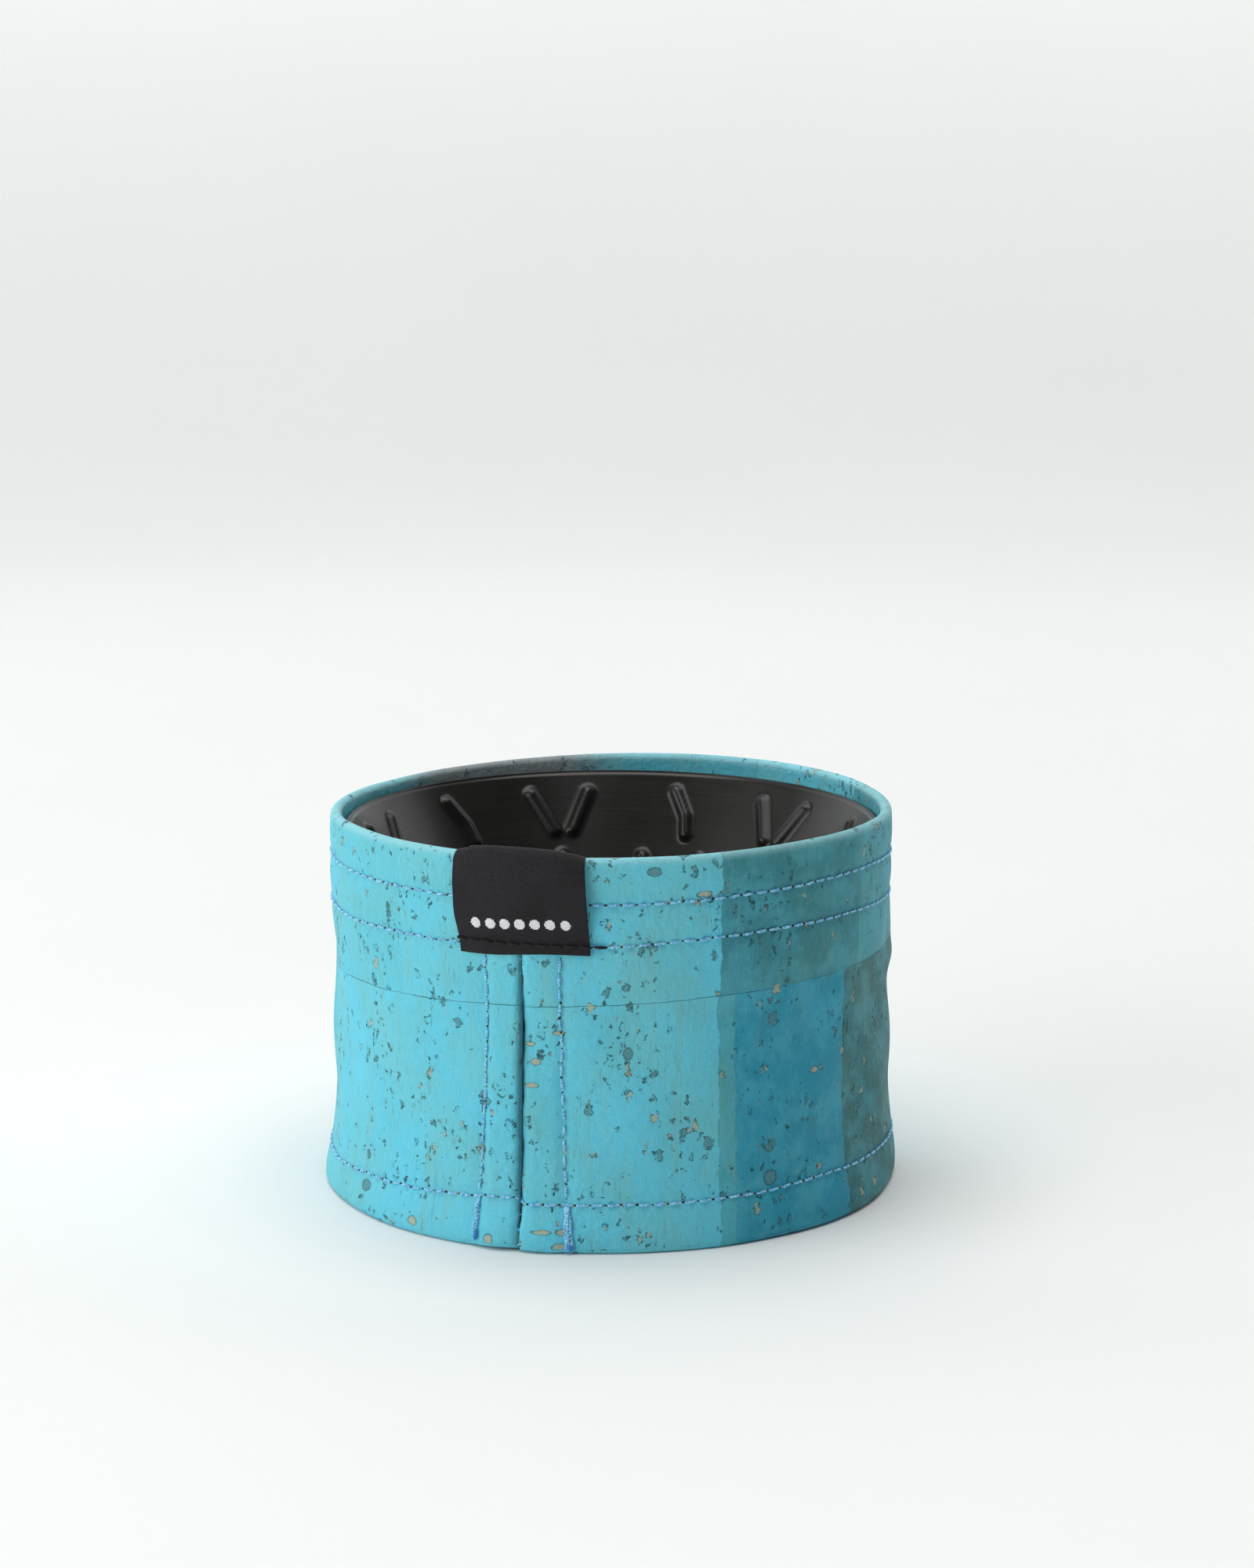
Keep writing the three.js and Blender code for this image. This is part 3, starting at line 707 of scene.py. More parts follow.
def panel_profile():
    """The folded panel's section: depth inside the wall, way up and its map place, out and back."""
    half_turn = np.linspace(0, math.pi, 16)
    sheet_radius = FOLD - SHEET
    climb = np.concatenate([
        np.arange(FOOT_FOLD_Z, 13, 0.55), np.arange(13, 55, 0.95), np.arange(55, 71, 0.55),
        np.linspace(71, FOLD_Z, 6),
    ])
    shown = [(HEM, z, -FOLD * math.pi - (z - FOOT_FOLD_Z)) for z in np.linspace(FOOT_HEM_Z, FOOT_FOLD_Z, 9)]
    for a in half_turn[1:-1]:
        shown.append((FOLD + FOLD * math.cos(a), FOLD - FOLD * math.sin(a), -FOLD * (math.pi - a)))
    shown += [(0.0, z, z) for z in climb]
    for a in half_turn[1:-1]:
        shown.append((FOLD - FOLD * math.cos(a), FOLD_Z + FOLD * math.sin(a), FOLD_Z + FOLD * a))
    flap_start = FOLD_Z + FOLD * math.pi
    shown += [(HEM, z, flap_start + FOLD_Z - z) for z in np.linspace(FOLD_Z, TOP_HEM_Z, 22)]
    hidden = [(HEM - SHEET, z, flap_start + FOLD_Z - z) for z in np.linspace(TOP_HEM_Z, FOLD_Z, 8)]
    for a in half_turn[2:-2:3]:
        place = (FOLD + sheet_radius * math.cos(a), FOLD_Z + sheet_radius * math.sin(a))
        hidden.append((*place, FOLD_Z + FOLD * (math.pi - a)))
    hidden += [(SHEET, z, z) for z in np.linspace(FOLD_Z, FOOT_FOLD_Z, 24)]
    hidden += [(SHEET + 0.2, SHEET, 0.0), (HEM - SHEET - 0.2, SHEET, -3.0)]
    hidden += [(HEM - SHEET, z, -6 - (z - FOOT_FOLD_Z)) for z in np.linspace(FOOT_FOLD_Z, FOOT_HEM_Z, 6)]
    return np.array(shown), np.array(hidden)


def cork_panel():
    shown, hidden = panel_profile()
    # the panel's columns of points lie closer together beside the seam
    near = np.array([0.12, 0.25, 0.4, 0.6, 0.8, 1.05, 1.35, 1.7, 2.1, 2.6, 3.2]) / DEGREE
    angles = np.concatenate([near, np.linspace(3.9, 356.1, 455), 360 - near[::-1]]) + SEAM_ANGLE
    profile = np.concatenate([shown, hidden])
    angle, depth = np.meshgrid(angles, profile[:, 0], indexing="ij")
    way = np.broadcast_to(profile[:, 1], angle.shape)
    height = lifted(angle, way)
    clipped = np.clip(way, FOOT_FOLD_Z, FOLD_Z)
    radius = wavy_wall(angle, clipped) - depth
    dent = puckers(angle, height)
    # The dents move the shown face along its own normal: outwards on the wall, upwards on the fold and
    # inwards on the hems, where nothing is raised. Hidden faces stay smooth.
    turn = np.clip(depth / HEM, 0, 1) * math.pi
    is_shown = np.arange(len(profile)) < len(shown)
    foot = (way < FOOT_FOLD_Z) | (way < FOOT_HEM_Z + 1) & (depth > FOLD)
    inner_side = np.where(turn > math.pi / 2, np.sin(turn), 1.0)
    dent = np.minimum(dent, 0) + np.maximum(dent, 0) * inner_side
    share = np.where(is_shown, 1.0, 0.0) * np.where(foot & (depth > 0), np.maximum(0, 1 - depth), 1.0)
    radius = radius + dent * np.cos(turn) * share
    height = height + np.where(foot, 0, dent * np.sin(turn) * share)
    points = polar(angle, radius, height)
    spread = np.radians(angle - SEAM_ANGLE) * MEAN_RADIUS
    flat = np.stack([spread, np.broadcast_to(profile[:, 2], angle.shape)], -1)
    return make_tube("cork_panel", points, CORK, ["cork_shell"], flat)


def block_sheet(name, angles, heights, outer, inner, look, nodes=(), offset=0.0):
    """A curved strip inside the sleeve: outer and inner give its faces' depth inside the wall."""
    ring = [(outer, z) for z in heights] + [(inner, z) for z in heights[::-1]]
    depths, ways = np.array(ring).T
    angle, depth = np.meshgrid(angles, depths, indexing="ij")
    way = np.broadcast_to(ways, angle.shape)
    lumps = 0.08 * np.sin(angle * 2.3 + way * 0.9) * (depth > (outer + inner) / 2)
    radius = wavy_wall(angle, way) - depth + lumps
    flat = np.stack([np.radians(angle) * MEAN_RADIUS + offset, way], -1)
    return make_tube(name, polar(angle, radius, lifted(angle, way)), look, nodes, flat)


ALLOWANCE = 9.4  # cloth turned back inside the seam, on either side of it
ALLOWANCE_MAP = 90  # how far its map lies from the panel's, so that their marks differ


def sleeve_layers():
    heights = np.linspace(3.4, 73.0, 60)
    angles = np.linspace(10.4, 349.6, 300)
    felt_strip = block_sheet("interlining_felt", angles, heights, 0.95, 1.4, FELT, ["interlining"])
    allowances = []
    width = ALLOWANCE / DEGREE
    for side, start, end in (("left", -width, -0.25), ("right", 0.25, width)):
        angles = np.linspace(start, end, 24) + SEAM_ANGLE
        name = f"seam_allowance_{side}"
        allowances.append(block_sheet(name, angles, heights, 0.75, 1.4, CORK, offset=ALLOWANCE_MAP))
    return felt_strip, allowances


# ---- stitches ----
THREAD_SIDES = 6


def tubes(paths, outward, radius, plies=3, twists=1.5):
    """Twisted threads, one for each path of points. outward is the cloth's normal at each point."""
    count, steps, _ = paths.shape
    along = np.gradient(paths, axis=1)
    along /= np.linalg.norm(along, axis=2, keepdims=True)
    side = np.cross(along, outward)
    side /= np.linalg.norm(side, axis=2, keepdims=True)
    up = np.cross(side, along)
    t = np.linspace(0, 1, steps)
    thin = 0.25 + 0.75 * np.clip(np.sin(math.pi * (0.04 + 0.92 * t)), 0, 1) ** 0.6
    ring = np.arange(THREAD_SIDES) * 2 * math.pi / THREAD_SIDES
    rim = np.cos(ring)[None, None, :, None] * side[:, :, None]
    rim = rim + np.sin(ring)[None, None, :, None] * up[:, :, None]
    size = radius * thin[None, :, None, None]
    offset = 0.0 if plies == 1 else radius * 0.95
    last = (steps - 1) * THREAD_SIDES
    foot_caps = [[0, 1, 2, 3], [0, 3, 4, 5]]
    head_caps = [[last + 3, last + 2, last + 1, last], [last + 5, last + 4, last + 3, last]]
    one = np.concatenate([grid_faces(steps, THREAD_SIDES, wrap_columns=True), foot_caps, head_caps])
    all_faces = (one[None] + np.arange(count)[:, None, None] * steps * THREAD_SIDES).reshape(-1, 4)
    points, faces = [], []
    first = rng.uniform(0, 2 * math.pi, count)
    for ply in range(plies):
        turn = first[:, None] + 2 * math.pi * (twists * t[None] + ply / plies)
        away = np.cos(turn)[..., None] * side + np.sin(turn)[..., None] * up
        centre = paths + offset * thin[None, :, None] * away
        points.append((centre[:, :, None] + size * rim).reshape(-1, 3))
        faces.append(all_faces + ply * count * steps * THREAD_SIDES)
    return np.concatenate(points), np.concatenate(faces)


def stitch_paths(starts, ends, surface, lift, sink=0.35):
    """Paths that rise out of one hole, lie on the surface and dive into the next."""
    t = np.linspace(0, 1, 14)
    over = 1 - (2 * t - 1) ** 6
    angle = starts[:, :1] * (1 - t) + ends[:, :1] * t
    height = starts[:, 1:] * (1 - t) + ends[:, 1:] * t
    paths = surface(angle, height, lift * over - sink * (1 - over))
    outward = polar(angle, 1.0, 0.0)
    return paths, outward


def line_of_stitches(name, starts, ends, surface, node, look, facing=1, **twist):
    paths, outward = stitch_paths(starts, ends, surface, 0.26)
    points, faces = tubes(paths, outward * facing, PLY, **twist)
    return make_piece(name, points, faces, look, [node])


BOBBIN = {"plies": 1, "twists": 0}  # the plain thread underneath
LABEL_COVERS = 11.8  # degrees to either side of the front whose hem stitches the label hides
holes = []


def hem_stitches(name, line, node, bobbin, covered=0):
    """A line of stitches round a hem. line gives its height at an angle."""
    count = round(360 * DEGREE / STITCH)
    pitch = 360 / count
    angles = np.arange(count) * pitch + 0.37 * pitch + rng.normal(0, 0.03, count)
    heights = line(angles) + rng.normal(0, 0.07, count)
    gap = 0.1 * pitch
    starts = np.stack([angles + gap, heights - 0.06], -1)
    ends = np.stack([np.roll(angles, -1) - gap, np.roll(heights, -1) + 0.06], -1)
    ends[-1, 0] += 360
    shown = np.abs(signed_angle(angles + pitch / 2)) > covered
    line_of_stitches(name, starts[shown], ends[shown], outside, node, BLUE_THREAD)
    shift = np.array([0.5 * pitch, 0.0])
    beneath = f"{name}_bobbin", starts + shift, ends + shift
    line_of_stitches(*beneath, inside_hem, bobbin, BLUE_THREAD, facing=-1, **BOBBIN)
    holes.extend(zip(angles[shown], heights[shown]))


def seam_stitches(name, side, node, bobbin):
    """A line of topstitching beside the seam, from under the label down to the foot's line."""
    heights = np.arange(57.0, 9.6, -STITCH)
    heights = heights + rng.normal(0, 0.06, len(heights))
    away = side * topstitch_distance(heights) / DEGREE + SEAM_ANGLE
    away = away + rng.normal(0, 0.11, len(heights))
    places = np.stack([away, heights], -1)
    gap = np.array([0.0, 0.26])
    line_of_stitches(name, places[:-1] - gap, places[1:] + gap, outside, node, BLUE_THREAD)
    angle, height = places[2:-2].T
    path = polar(angle, wall_radius(height) - 1.8, height)[None]
    points, faces = tubes(path, -polar(angle, 1.0, 0.0)[None], PLY, **BOBBIN)
    make_piece(f"{name}_bobbin", points, faces, BLUE_THREAD, [bobbin])
    holes.extend(map(tuple, places))


def back_tacks(name, side, count, spread, foot):
    """Stitches sewn over each other to lock the topstitching, from the foot's line down to the foot."""

    def at(away, height):
        return [side * (tack_distance(side, height) + away) / DEGREE + SEAM_ANGLE, height]

    starts, ends = [], []
    for k in range(count):
        place = k / max(count - 1, 1) - 0.5
        cuts = [TACK_TOP + rng.normal(0, 0.3), 6.6 + rng.normal(0, 0.7), 3.8 + rng.normal(0, 0.6)]
        cuts.append(foot + rng.uniform(0, 0.8))
        for top, bottom in zip(cuts, cuts[1:]):
            fan = [spread * place * np.interp(z, [0, TACK_TOP], [1.25, 0.5]) for z in (top, bottom)]
            fan = [away + rng.normal(0, 0.13) for away in fan]
            starts.append(np.add(at(fan[0], top), [0, 0.25]))
            ends.append(np.add(at(fan[1], bottom), [0, -0.25]))
    paths, outward = stitch_paths(np.array(starts), np.array(ends), outside, 0.3)
    stacked = (np.arange(len(starts)) // 3 % 3)[:, None, None] * 0.16 * outward
    points, faces = tubes(paths + stacked, outward, PLY * 1.05, twists=2.2)
    make_piece(name, points, faces, BLUE_THREAD)

    # The tack's end is drawn in the darker copy of the thread, painted shade between its overlapping
    # strands.
    knot_top = foot + np.array([2.1, 1.7, 1.9])
    middle = side * (tack_distance(side, 1.5) + np.array([-0.22, 0.12, 0.3]) * spread)
    degrees = middle / DEGREE + SEAM_ANGLE
    tops = np.stack([degrees, knot_top], -1)
    ends = np.stack([degrees + 0.12, knot_top - 1.5], -1)
    paths, outward = stitch_paths(tops, ends, outside, 0.62)
    points, faces = tubes(paths, outward, PLY * 1.15, twists=0.7)
    make_piece(f"{name}_end", points, faces, SHADED_THREAD)


def joining_stitches():
    """The seam's own thread, seen across the valley between the panel's two edges."""
    heights = np.arange(1.2, 74, STITCH)
    spans = rng.uniform(0.35, 0.6, len(heights)) / DEGREE
    starts = np.stack([SEAM_ANGLE - spans, heights], -1)
    ends = np.stack([SEAM_ANGLE + spans * 0.7, heights + rng.normal(0.25, 0.15, len(heights))], -1)

    def valley(angle, height, off):
        return polar(angle, wavy_wall(angle, height) - 0.5 + off, height)

    paths, outward = stitch_paths(starts, ends, valley, 0.2, sink=0.2)
    points, faces = tubes(paths, outward, PLY * 0.8, twists=0.8)
    make_piece("seam_joining_stitches", points, faces, BLUE_THREAD, ["seam_joining_thread"])


def flecks(name, places, size, look, off=0.03):
    """Small low domes on the wall at (angle, height) places: dark ones painted as the needle holes' shade,
    and crumbs of raw cork.
    """
    sides = 8
    ring = np.arange(sides) * 2 * math.pi / sides
    points, loops = [], []
    for angle, height in places:
        reach = size * rng.uniform(0.7, 1.2)
        shape = reach * (1 + rng.uniform(-0.25, 0.25, sides))
        spread = angle + shape * np.cos(ring) / DEGREE
        rise = height + 0.8 * shape * np.sin(ring)
        start = len(points) * (2 * sides)
        points.append(np.concatenate([outside(spread, rise, off), outside(spread, rise, -0.12)]))
        top = start + np.arange(sides)
        loops += [top, top[::-1] + sides]
        for corner, after in zip(top, np.roll(top, -1)):
            loops.append([corner, corner + sides, after + sides, after])
    none = np.zeros((0, 4), int)
    make_piece(name, np.array(points), none, look, loops=loops)


CRUMB_SHARE = 0.22  # of the needle holes have a crumb of cork beside them


def all_stitches():
    for name, line in (("upper", UPPER_LINE), ("lower", LOWER_LINE)):
        nodes = f"hem_thread_{name}", f"hem_bobbin_thread_{name}"
        hem_stitches(f"hem_stitches_{name}", lambda angle: around(angle, line), *nodes, LABEL_COVERS)
    hem_stitches("hem_stitches_foot", foot_line, "hem_thread_foot", "hem_bobbin_thread_foot")
    for name, side in (("left", -1), ("right", 1)):
        seam_stitches(f"seam_stitches_{name}", side, f"seam_thread_{name}", f"seam_bobbin_thread_{name}")
    back_tacks("back_tack_left", -1, 3, 0.42, 1.5)
    back_tacks("back_tack_right", 1, 5, 1.15, 0.3)
    joining_stitches()
    # dark domes at every needle hole, painted as the holes' shade
    flecks("needle_holes", holes, 0.28, HOLE_SHADE)
    crumbs = []
    for i, (angle, height) in enumerate(holes):
        if rng.random() < CRUMB_SHARE:
            crumbs.append((angle + 0.25 * (-1) ** i, height + 0.22 * (-1) ** (i // 2)))
    crumbs += [(SEAM_ANGLE + rng.normal(0.1, 0.3), z) for z in rng.uniform(1.4, 20, 22)]
    flecks("cork_crumbs", crumbs, 0.22, CRUMB, 0.1)


# ---- label ----
LABEL_FOOT = 57.0
LABEL_LINE = 59.5
LABEL_CLOTH = 0.35
LABEL_SHOULDER = 73.4  # the height where the strip starts to turn over the mouth
TURN_START = 0.4  # shares of the strip's length where that turn starts and ends
TURN_END = 0.54


def label_spine(x, t):
    """The strip's middle surface. x runs across it from -1 to 1, and t along it from its outer foot."""
    turned = np.clip(t / 0.42, 0, 1)
    bow = -0.35 * np.sin(math.pi * turned) * (x < 0) * x**2
    angle = (x * LABEL_WIDTH / 2 + 0.5 - 1.0 * turned + bow) / LABEL_DEGREE - 0.5

    # the outer leg, standing off the wall as it climbs
    foot = LABEL_FOOT + 0.4 + 0.4 * x + 0.2 * np.sin(3.1 * x + 0.5)
    rise = np.clip(t / TURN_START, 0, 1)
    height = foot + (LABEL_SHOULDER - foot) * rise
    standing = 0.32 + 0.95 * smoothstep(0.12, 0.6, rise) - 0.3 * smoothstep(0.75, 1.0, rise)
    standing = standing + 0.35 * x * x * smoothstep(0.1, 0.5, rise) * np.where(x > 0, 1.0, 0.5)
    standing = standing + 0.1 * np.sin(5 * x + 4 * rise) * rise
    ridge = (0.45 + 0.12 * np.cos(2.4 * x)) * 0.6
    outer = wall_radius(np.minimum(height, 73.0)) + waves(angle, height) + ridge + standing

    # the turn over the mouth
    top = around(angle, CREST) + 1.45 - 1.25 * np.abs(x + 0.06) ** 3 - 0.3 * (x < -0.8)
    outer_end = wall_radius(73.0) + waves(angle, LABEL_SHOULDER) + ridge + 0.97
    inner = wavy_wall(angle, 74.0) - HEM - 0.34
    half_turn = np.clip((t - TURN_START) / (TURN_END - TURN_START), 0, 1) * math.pi
    over_radius = (outer_end + inner) / 2 + (outer_end - inner) / 2 * np.cos(half_turn)
    over_height = LABEL_SHOULDER + (top - LABEL_SHOULDER) * np.sin(half_turn) ** 0.8

    # the inner leg
    fall = np.clip((t - TURN_END) / (1 - TURN_END), 0, 1)
    down_height = LABEL_SHOULDER + (LABEL_FOOT - LABEL_SHOULDER) * fall
    down_radius = inner - 0.5 * smoothstep(0.1, 0.35, fall)
    radius = np.where(t < TURN_START, outer, np.where(t < TURN_END, over_radius, down_radius))
    height = np.where(t < TURN_START, height, np.where(t < TURN_END, over_height, down_height))
    return polar(angle, radius, height)


def woven_label():
    across = np.concatenate([[-1.0, -0.992], np.linspace(-0.98, 0.98, 90), [0.992, 1.0]])
    along = np.concatenate([
        np.linspace(0, TURN_START, 80, endpoint=False),
        np.linspace(TURN_START, TURN_END, 28, endpoint=False),
        np.linspace(TURN_END, 1, 40),
    ])
    x, t = np.meshgrid(across, along, indexing="ij")
    spine = label_spine(x, t)
    step = 1e-3
    across_way = label_spine(x + step, t) - label_spine(x - step, t)
    along_way = label_spine(x, np.clip(t + step, 0, 1)) - label_spine(x, np.clip(t - step, 0, 1))
    normal = np.cross(across_way, along_way)
    normal /= np.linalg.norm(normal, axis=-1, keepdims=True)
    edge = np.clip((np.abs(x) - 0.985) / 0.015, 0, 1)  # the strip's edges are rounded
    thickness = (LABEL_CLOTH / 2 * np.sqrt(np.clip(1 - edge**2, 0.04, 1)))[..., None]
    points = np.concatenate([spine + normal * thickness, (spine - normal * thickness)[:, ::-1]], 1)
    length = np.linalg.norm(np.diff(spine[len(across) // 2], axis=0), axis=-1)
    way = LABEL_FOOT + np.concatenate([[0], np.cumsum(length)])
    flat = np.stack(np.meshgrid(across * LABEL_WIDTH / 2, [*way, *way[::-1]], indexing="ij"), -1)
    return make_tube("woven_label_strip", points, LABEL, ["woven_label"], flat)


def label_stitches():
    places = np.arange(-14.0, 17.0, 2.75)
    heights = LABEL_LINE + rng.normal(0, 0.08, len(places)) - 0.006 * places
    spots = np.stack([places / LABEL_DEGREE, heights], -1)
    gap = np.array([0.16, 0.0])
    starts, ends = spots[:-1] + gap, spots[1:] - gap

    def on_label(angle, height, off):
        on_cloth = 0.25 + 0.65 * smoothstep(14.4, 13.0, np.abs(angle * LABEL_DEGREE))
        return polar(angle, wavy_wall(angle, height) + on_cloth + off, height)

    def inside_label(angle, height, off):
        return polar(angle, wavy_wall(angle, 74.0) - HEM - 1.1 - off, height)

    line_of_stitches("label_stitches", starts, ends, on_label, "label_thread", BLACK_THREAD)
    beneath = "label_stitches_bobbin", starts, ends, inside_label, "label_bobbin_thread", BLACK_THREAD
    line_of_stitches(*beneath, facing=-1, **BOBBIN)


# ---- dripper ----
def cone_radius(height):
    return OUTLET_RADIUS + (height - CONE_FOOT) * SLOPE


RIB_TOP = 69.0
RIB_PITCH = 12.6
LEFT_ARM = [(-6.3, -0.6), (-1.9, -8.1)]
RIGHT_ARM = [(6.3, -0.6), (1.9, -8.1)]
BENT = [(0.8, -0.3), (-2.1, -5), (-2.7, -8.8)]
SHORT = [(0, 0), (0, -7)]


def rib_paths():
    """Each rib's middle line, as (angle of its own axis, top, points sideways and up)."""
    paths = []
    for row in range(3):
        turn = 30 * (row % 2)
        for step in range(6):
            for shape, angle in ((LEFT_ARM, 30), (RIGHT_ARM, 30), (BENT, 0)):
                paths.append((60 * step + angle + turn, RIB_TOP - row * RIB_PITCH, shape))
    for step in range(6):
        paths.append((60 * step, RIB_TOP - 3 * RIB_PITCH, SHORT))
        paths.append((60 * step + 30, RIB_TOP - 3.8 * RIB_PITCH, SHORT))
    return paths


def rib_relief(angle, height, width, rise):
    """How far the ribs stand off the cone's wall."""
    relief = np.zeros(angle.shape)
    stretch = 1 / math.cos(CONE_HALF_ANGLE)
    for axis, top, shape in rib_paths():
        side = ((angle - axis + 180) % 360 - 180) * np.radians(cone_radius(height))
        up = (height - top) * stretch
        close = (np.abs(side) < 12) & (up < 5) & (up > -16)
        x, y = side[close], up[close]
        nearest = np.full(x.shape, 99.0)
        for (x0, y0), (x1, y1) in zip(shape, shape[1:]):
            y0, y1 = y0 * stretch, y1 * stretch
            share = ((x - x0) * (x1 - x0) + (y - y0) * (y1 - y0)) / ((x1 - x0) ** 2 + (y1 - y0) ** 2)
            share = np.clip(share, 0, 1)
            nearest = np.minimum(nearest, np.hypot(x - x0 - share * (x1 - x0), y - y0 - share * (y1 - y0)))
        relief[close] = np.maximum(relief[close], rise * smoothstep(width, width * 0.12, nearest))
    return relief


def dripper():
    """The cone as one closed skin: its inner face, the rolled lip, the outer face with its grooves."""
    rim = CONE_RIM + 0.6
    rib_foot = 19
    rib_head = RIB_TOP + 2.2
    foot = CONE_FOOT
    heights = np.concatenate([
        np.linspace(foot + 1.2, rib_foot, 22, endpoint=False),
        np.linspace(rib_foot, rib_head, 120, endpoint=False),
        np.linspace(rib_head, rim - 0.5, 3),
    ])
    foot_lip = [(foot + 0.7, 0.1), (foot + 0.5, 0.4), (foot + 0.62, 0.6), (foot + 0.9, 0.86)]
    rim_lip = [(rim, 0.12), (rim + 0.2, 0.45), (rim + 0.14, 0.78)]
    inner = [(z, 0.0) for z in heights[::-1]]
    outer = [(z, CONE_SHEET) for z in heights[::3]]
    profile = np.array(inner + foot_lip + outer + rim_lip)
    columns = 560
    angles = np.arange(columns) * 360 / columns
    angle, height = np.meshgrid(angles, profile[:, 0], indexing="ij")
    depth = np.broadcast_to(profile[:, 1], angle.shape)
    in_face = rib_relief(angle, height, 1.9, 1.2)
    in_groove = rib_relief(angle, height, 1.4, 0.9)
    raised = np.where(depth <= 0, in_face, np.where(depth >= CONE_SHEET, in_groove, 0.0))
    radius = cone_radius(height) + (depth - raised) * math.cos(CONE_HALF_ANGLE)
    height = height - (depth - raised) * math.sin(CONE_HALF_ANGLE)
    make_ring("pressed_cone", polar(angle, radius, height), METAL, ["dripper_cone"], "dripper")


def rounded(corners, radii, steps=6):
    """A closed section whose corners are rounded off by their radii."""
    section = []
    count = len(corners)
    for i, radius in enumerate(radii):
        corner = np.array(corners[i], float)
        back = np.array(corners[i - 1], float) - corner
        on = np.array(corners[(i + 1) % count], float) - corner
        back /= np.linalg.norm(back)
        on /= np.linalg.norm(on)
        for t in np.linspace(0, 1, steps):
            start, end = corner + back * radius, corner + on * radius
            section.append((1 - t) ** 2 * start + 2 * t * (1 - t) * corner + t**2 * end)
    return section


def silicone_base():
    base_low, base_high = (np.array(corner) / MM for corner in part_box("silicone_base"))
    foot, top = base_low[2], base_high[2]
    flange = base_high[0]
    seat = foot + 3.5
    flange_top = seat + 3.2
    clear = CONE_SHEET / math.cos(CONE_HALF_ANGLE) + 0.3

    def bore(height):
        return cone_radius(height) + clear

    corners = [
        (bore(foot), foot), (26.6, foot), (26.6, seat), (flange - 7, seat), (flange - 6, seat - 0.5),
        (flange - 4.6, seat - 0.5), (flange - 3.6, seat), (flange, seat), (flange, flange_top),
        (flange - 3.2, flange_top), (flange - 4.4, flange_top - 0.7),
        (bore(flange_top) + 3.6, flange_top - 0.7), (bore(top - 2) + 1.9, top - 2.2),
        (bore(top) + 2.2, top - 1.2), (bore(top) + 1.7, top), (bore(top), top),
    ]
    radii = [0.3, 0.7, 0.6, 0.5, 0.2, 0.2, 0.5, 1.1, 1.1, 0.5, 0.4, 1.6, 0.6, 0.5, 0.4, 0.3]
    section = np.array(rounded(corners, radii))
    columns = 240
    angles = np.arange(columns)[:, None] * 360 / columns
    make_ring("silicone_seat", polar(angles, *section.T), SILICONE, ["silicone_base"], "base")


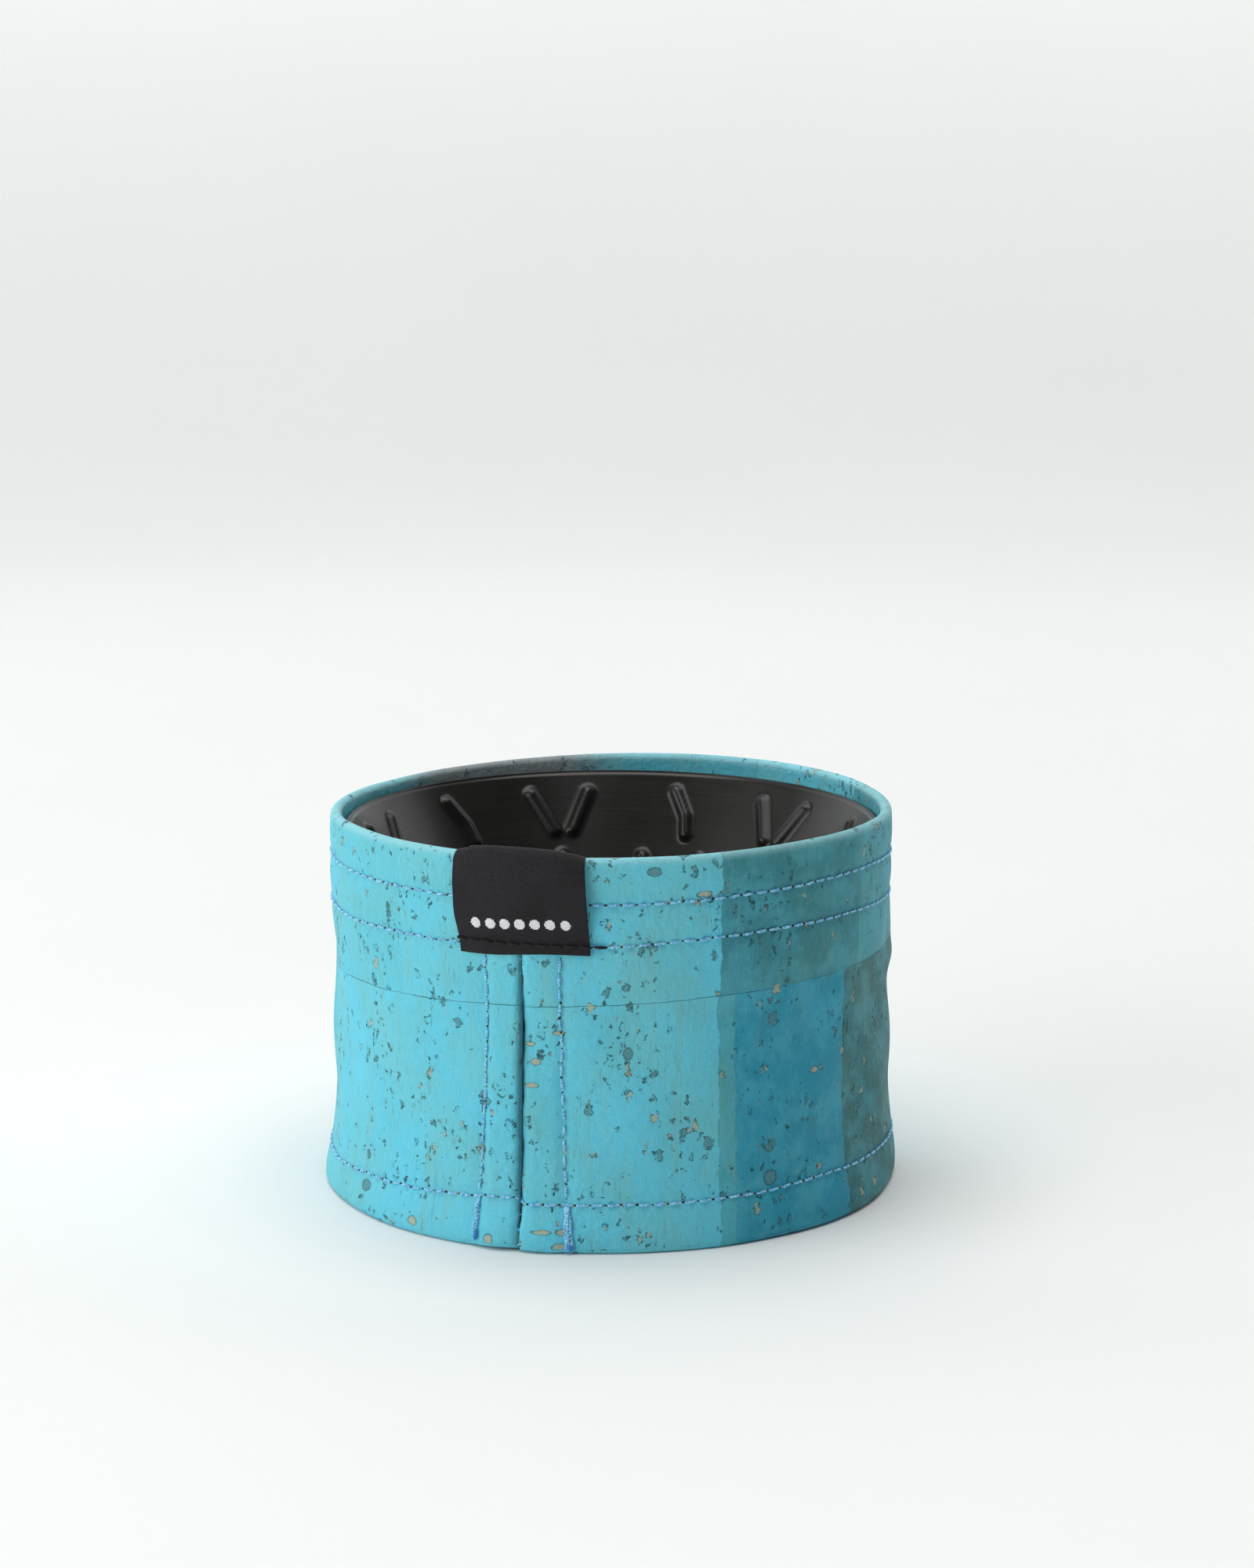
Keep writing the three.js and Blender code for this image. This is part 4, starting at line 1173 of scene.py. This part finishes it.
# ---- studio ----
def studio():
    s = Shader("studio_floor", Roughness=0.75)
    paper = s.noise(s.place(), 0.004, 2.0)
    s.set("Base Color", s.mix(paper, (240, 241, 240), (246, 247, 246)))
    sideways, away, up = s.split(s.place())
    distance = s.length(sideways, away)
    s.set("Emission Color", (241, 243, 242))
    glow = s.plus(s.step(distance, 0.0, 1000.0, 0.0, 0.245), s.step(distance, 1000.0, 3000.0, 0.0, 0.4))
    s.set("Emission Strength", s.plus(glow, s.step(up, 0.0, 700.0, 0.0, 0.22)))
    bend = [(-12.0, 0.0), (1.3, 0.0)]
    bend += [(1.3 + 0.9 * math.sin(a), 0.9 - 0.9 * math.cos(a)) for a in np.linspace(0.1, math.pi / 2, 12)]
    bend += [(2.2, 4.0)]
    points = [(x, y, z) for x in (-12.0, 12.0) for y, z in bend]
    count = len(bend)
    faces = [(i, i + count, i + 1 + count, i + 1) for i in range(count - 1)]
    mesh = bpy.data.meshes.new("studio_floor")
    mesh.from_pydata(points, [], faces)
    mesh.polygons.foreach_set("use_smooth", np.ones(len(faces), bool))
    mesh.materials.append(s.material)
    floor = add_object("studio_floor", mesh)
    floor.rotation_euler = (0.0, 0.0, math.radians(CAMERA_TURN))

    world = bpy.data.worlds.new("studio_air")
    world.use_nodes = True
    background = world.node_tree.nodes["Background"]
    background.inputs["Color"].default_value = (0.98, 1.0, 1.0, 1.0)
    air = world.node_tree.nodes
    rise = air.new("ShaderNodeSeparateXYZ")
    pale = air.new("ShaderNodeMapRange")  # pale all round near the horizon, and dim overhead
    for socket, value in {"From Min": 0.06, "From Max": 0.24, "To Min": 0.14, "To Max": 0.06}.items():
        pale.inputs[socket].default_value = value
    join = world.node_tree.links.new
    join(air.new("ShaderNodeTexCoord").outputs["Generated"], rise.inputs[0])
    join(rise.outputs["Z"], pale.inputs["Value"])
    join(pale.outputs[0], background.inputs["Strength"])
    bpy.context.scene.world = world
    bpy.context.scene.view_settings.view_transform = "Standard"


def seen(right, back, up):
    """A place given from the camera's side: to its right, away from it, and up, in metres."""
    turn = math.radians(CAMERA_TURN)
    x = right * math.cos(turn) - back * math.sin(turn)
    y = right * math.sin(turn) + back * math.cos(turn)
    return x, y, up


def area_light(name, place, target, size, watts):
    light = bpy.data.lights.new(name, "AREA")
    light.shape = "RECTANGLE"
    light.size, light.size_y = size
    light.energy = watts
    lamp = add_object(name, light)
    lamp.location = place
    way = np.array(target) - np.array(place)
    way = way / np.linalg.norm(way)
    lamp.rotation_euler = (math.acos(-way[2]), 0.0, math.atan2(way[1], way[0]) - math.pi / 2)


def camera():
    lens = bpy.data.cameras.new("camera")
    lens.sensor_width = 36.0
    lens.lens = 76.5
    viewer = add_object("camera", lens)
    viewer.location = seen(0.0031, -0.66, 0.204)
    viewer.rotation_euler = (math.radians(90 - LOOKING_DOWN), 0.0, math.radians(CAMERA_TURN))
    bpy.context.scene.camera = viewer


CAMERA_TURN = 16.7  # degrees from the seam's side round to the camera's
LOOKING_DOWN = 10.68
camera()
area_light("key_window", seen(-1.15, -0.62, 0.42), (0, 0, 0.04), (1.4, 1.0), 11.3)
area_light("top_softbox", seen(-0.02, -0.05, 1.2), (0, 0, 0.03), (1.2, 1.0), 10.6)
studio()
panel = cork_panel()
felt_strip, allowances = sleeve_layers()
all_stitches()
label = woven_label()
label_stitches()
dripper()
silicone_base()
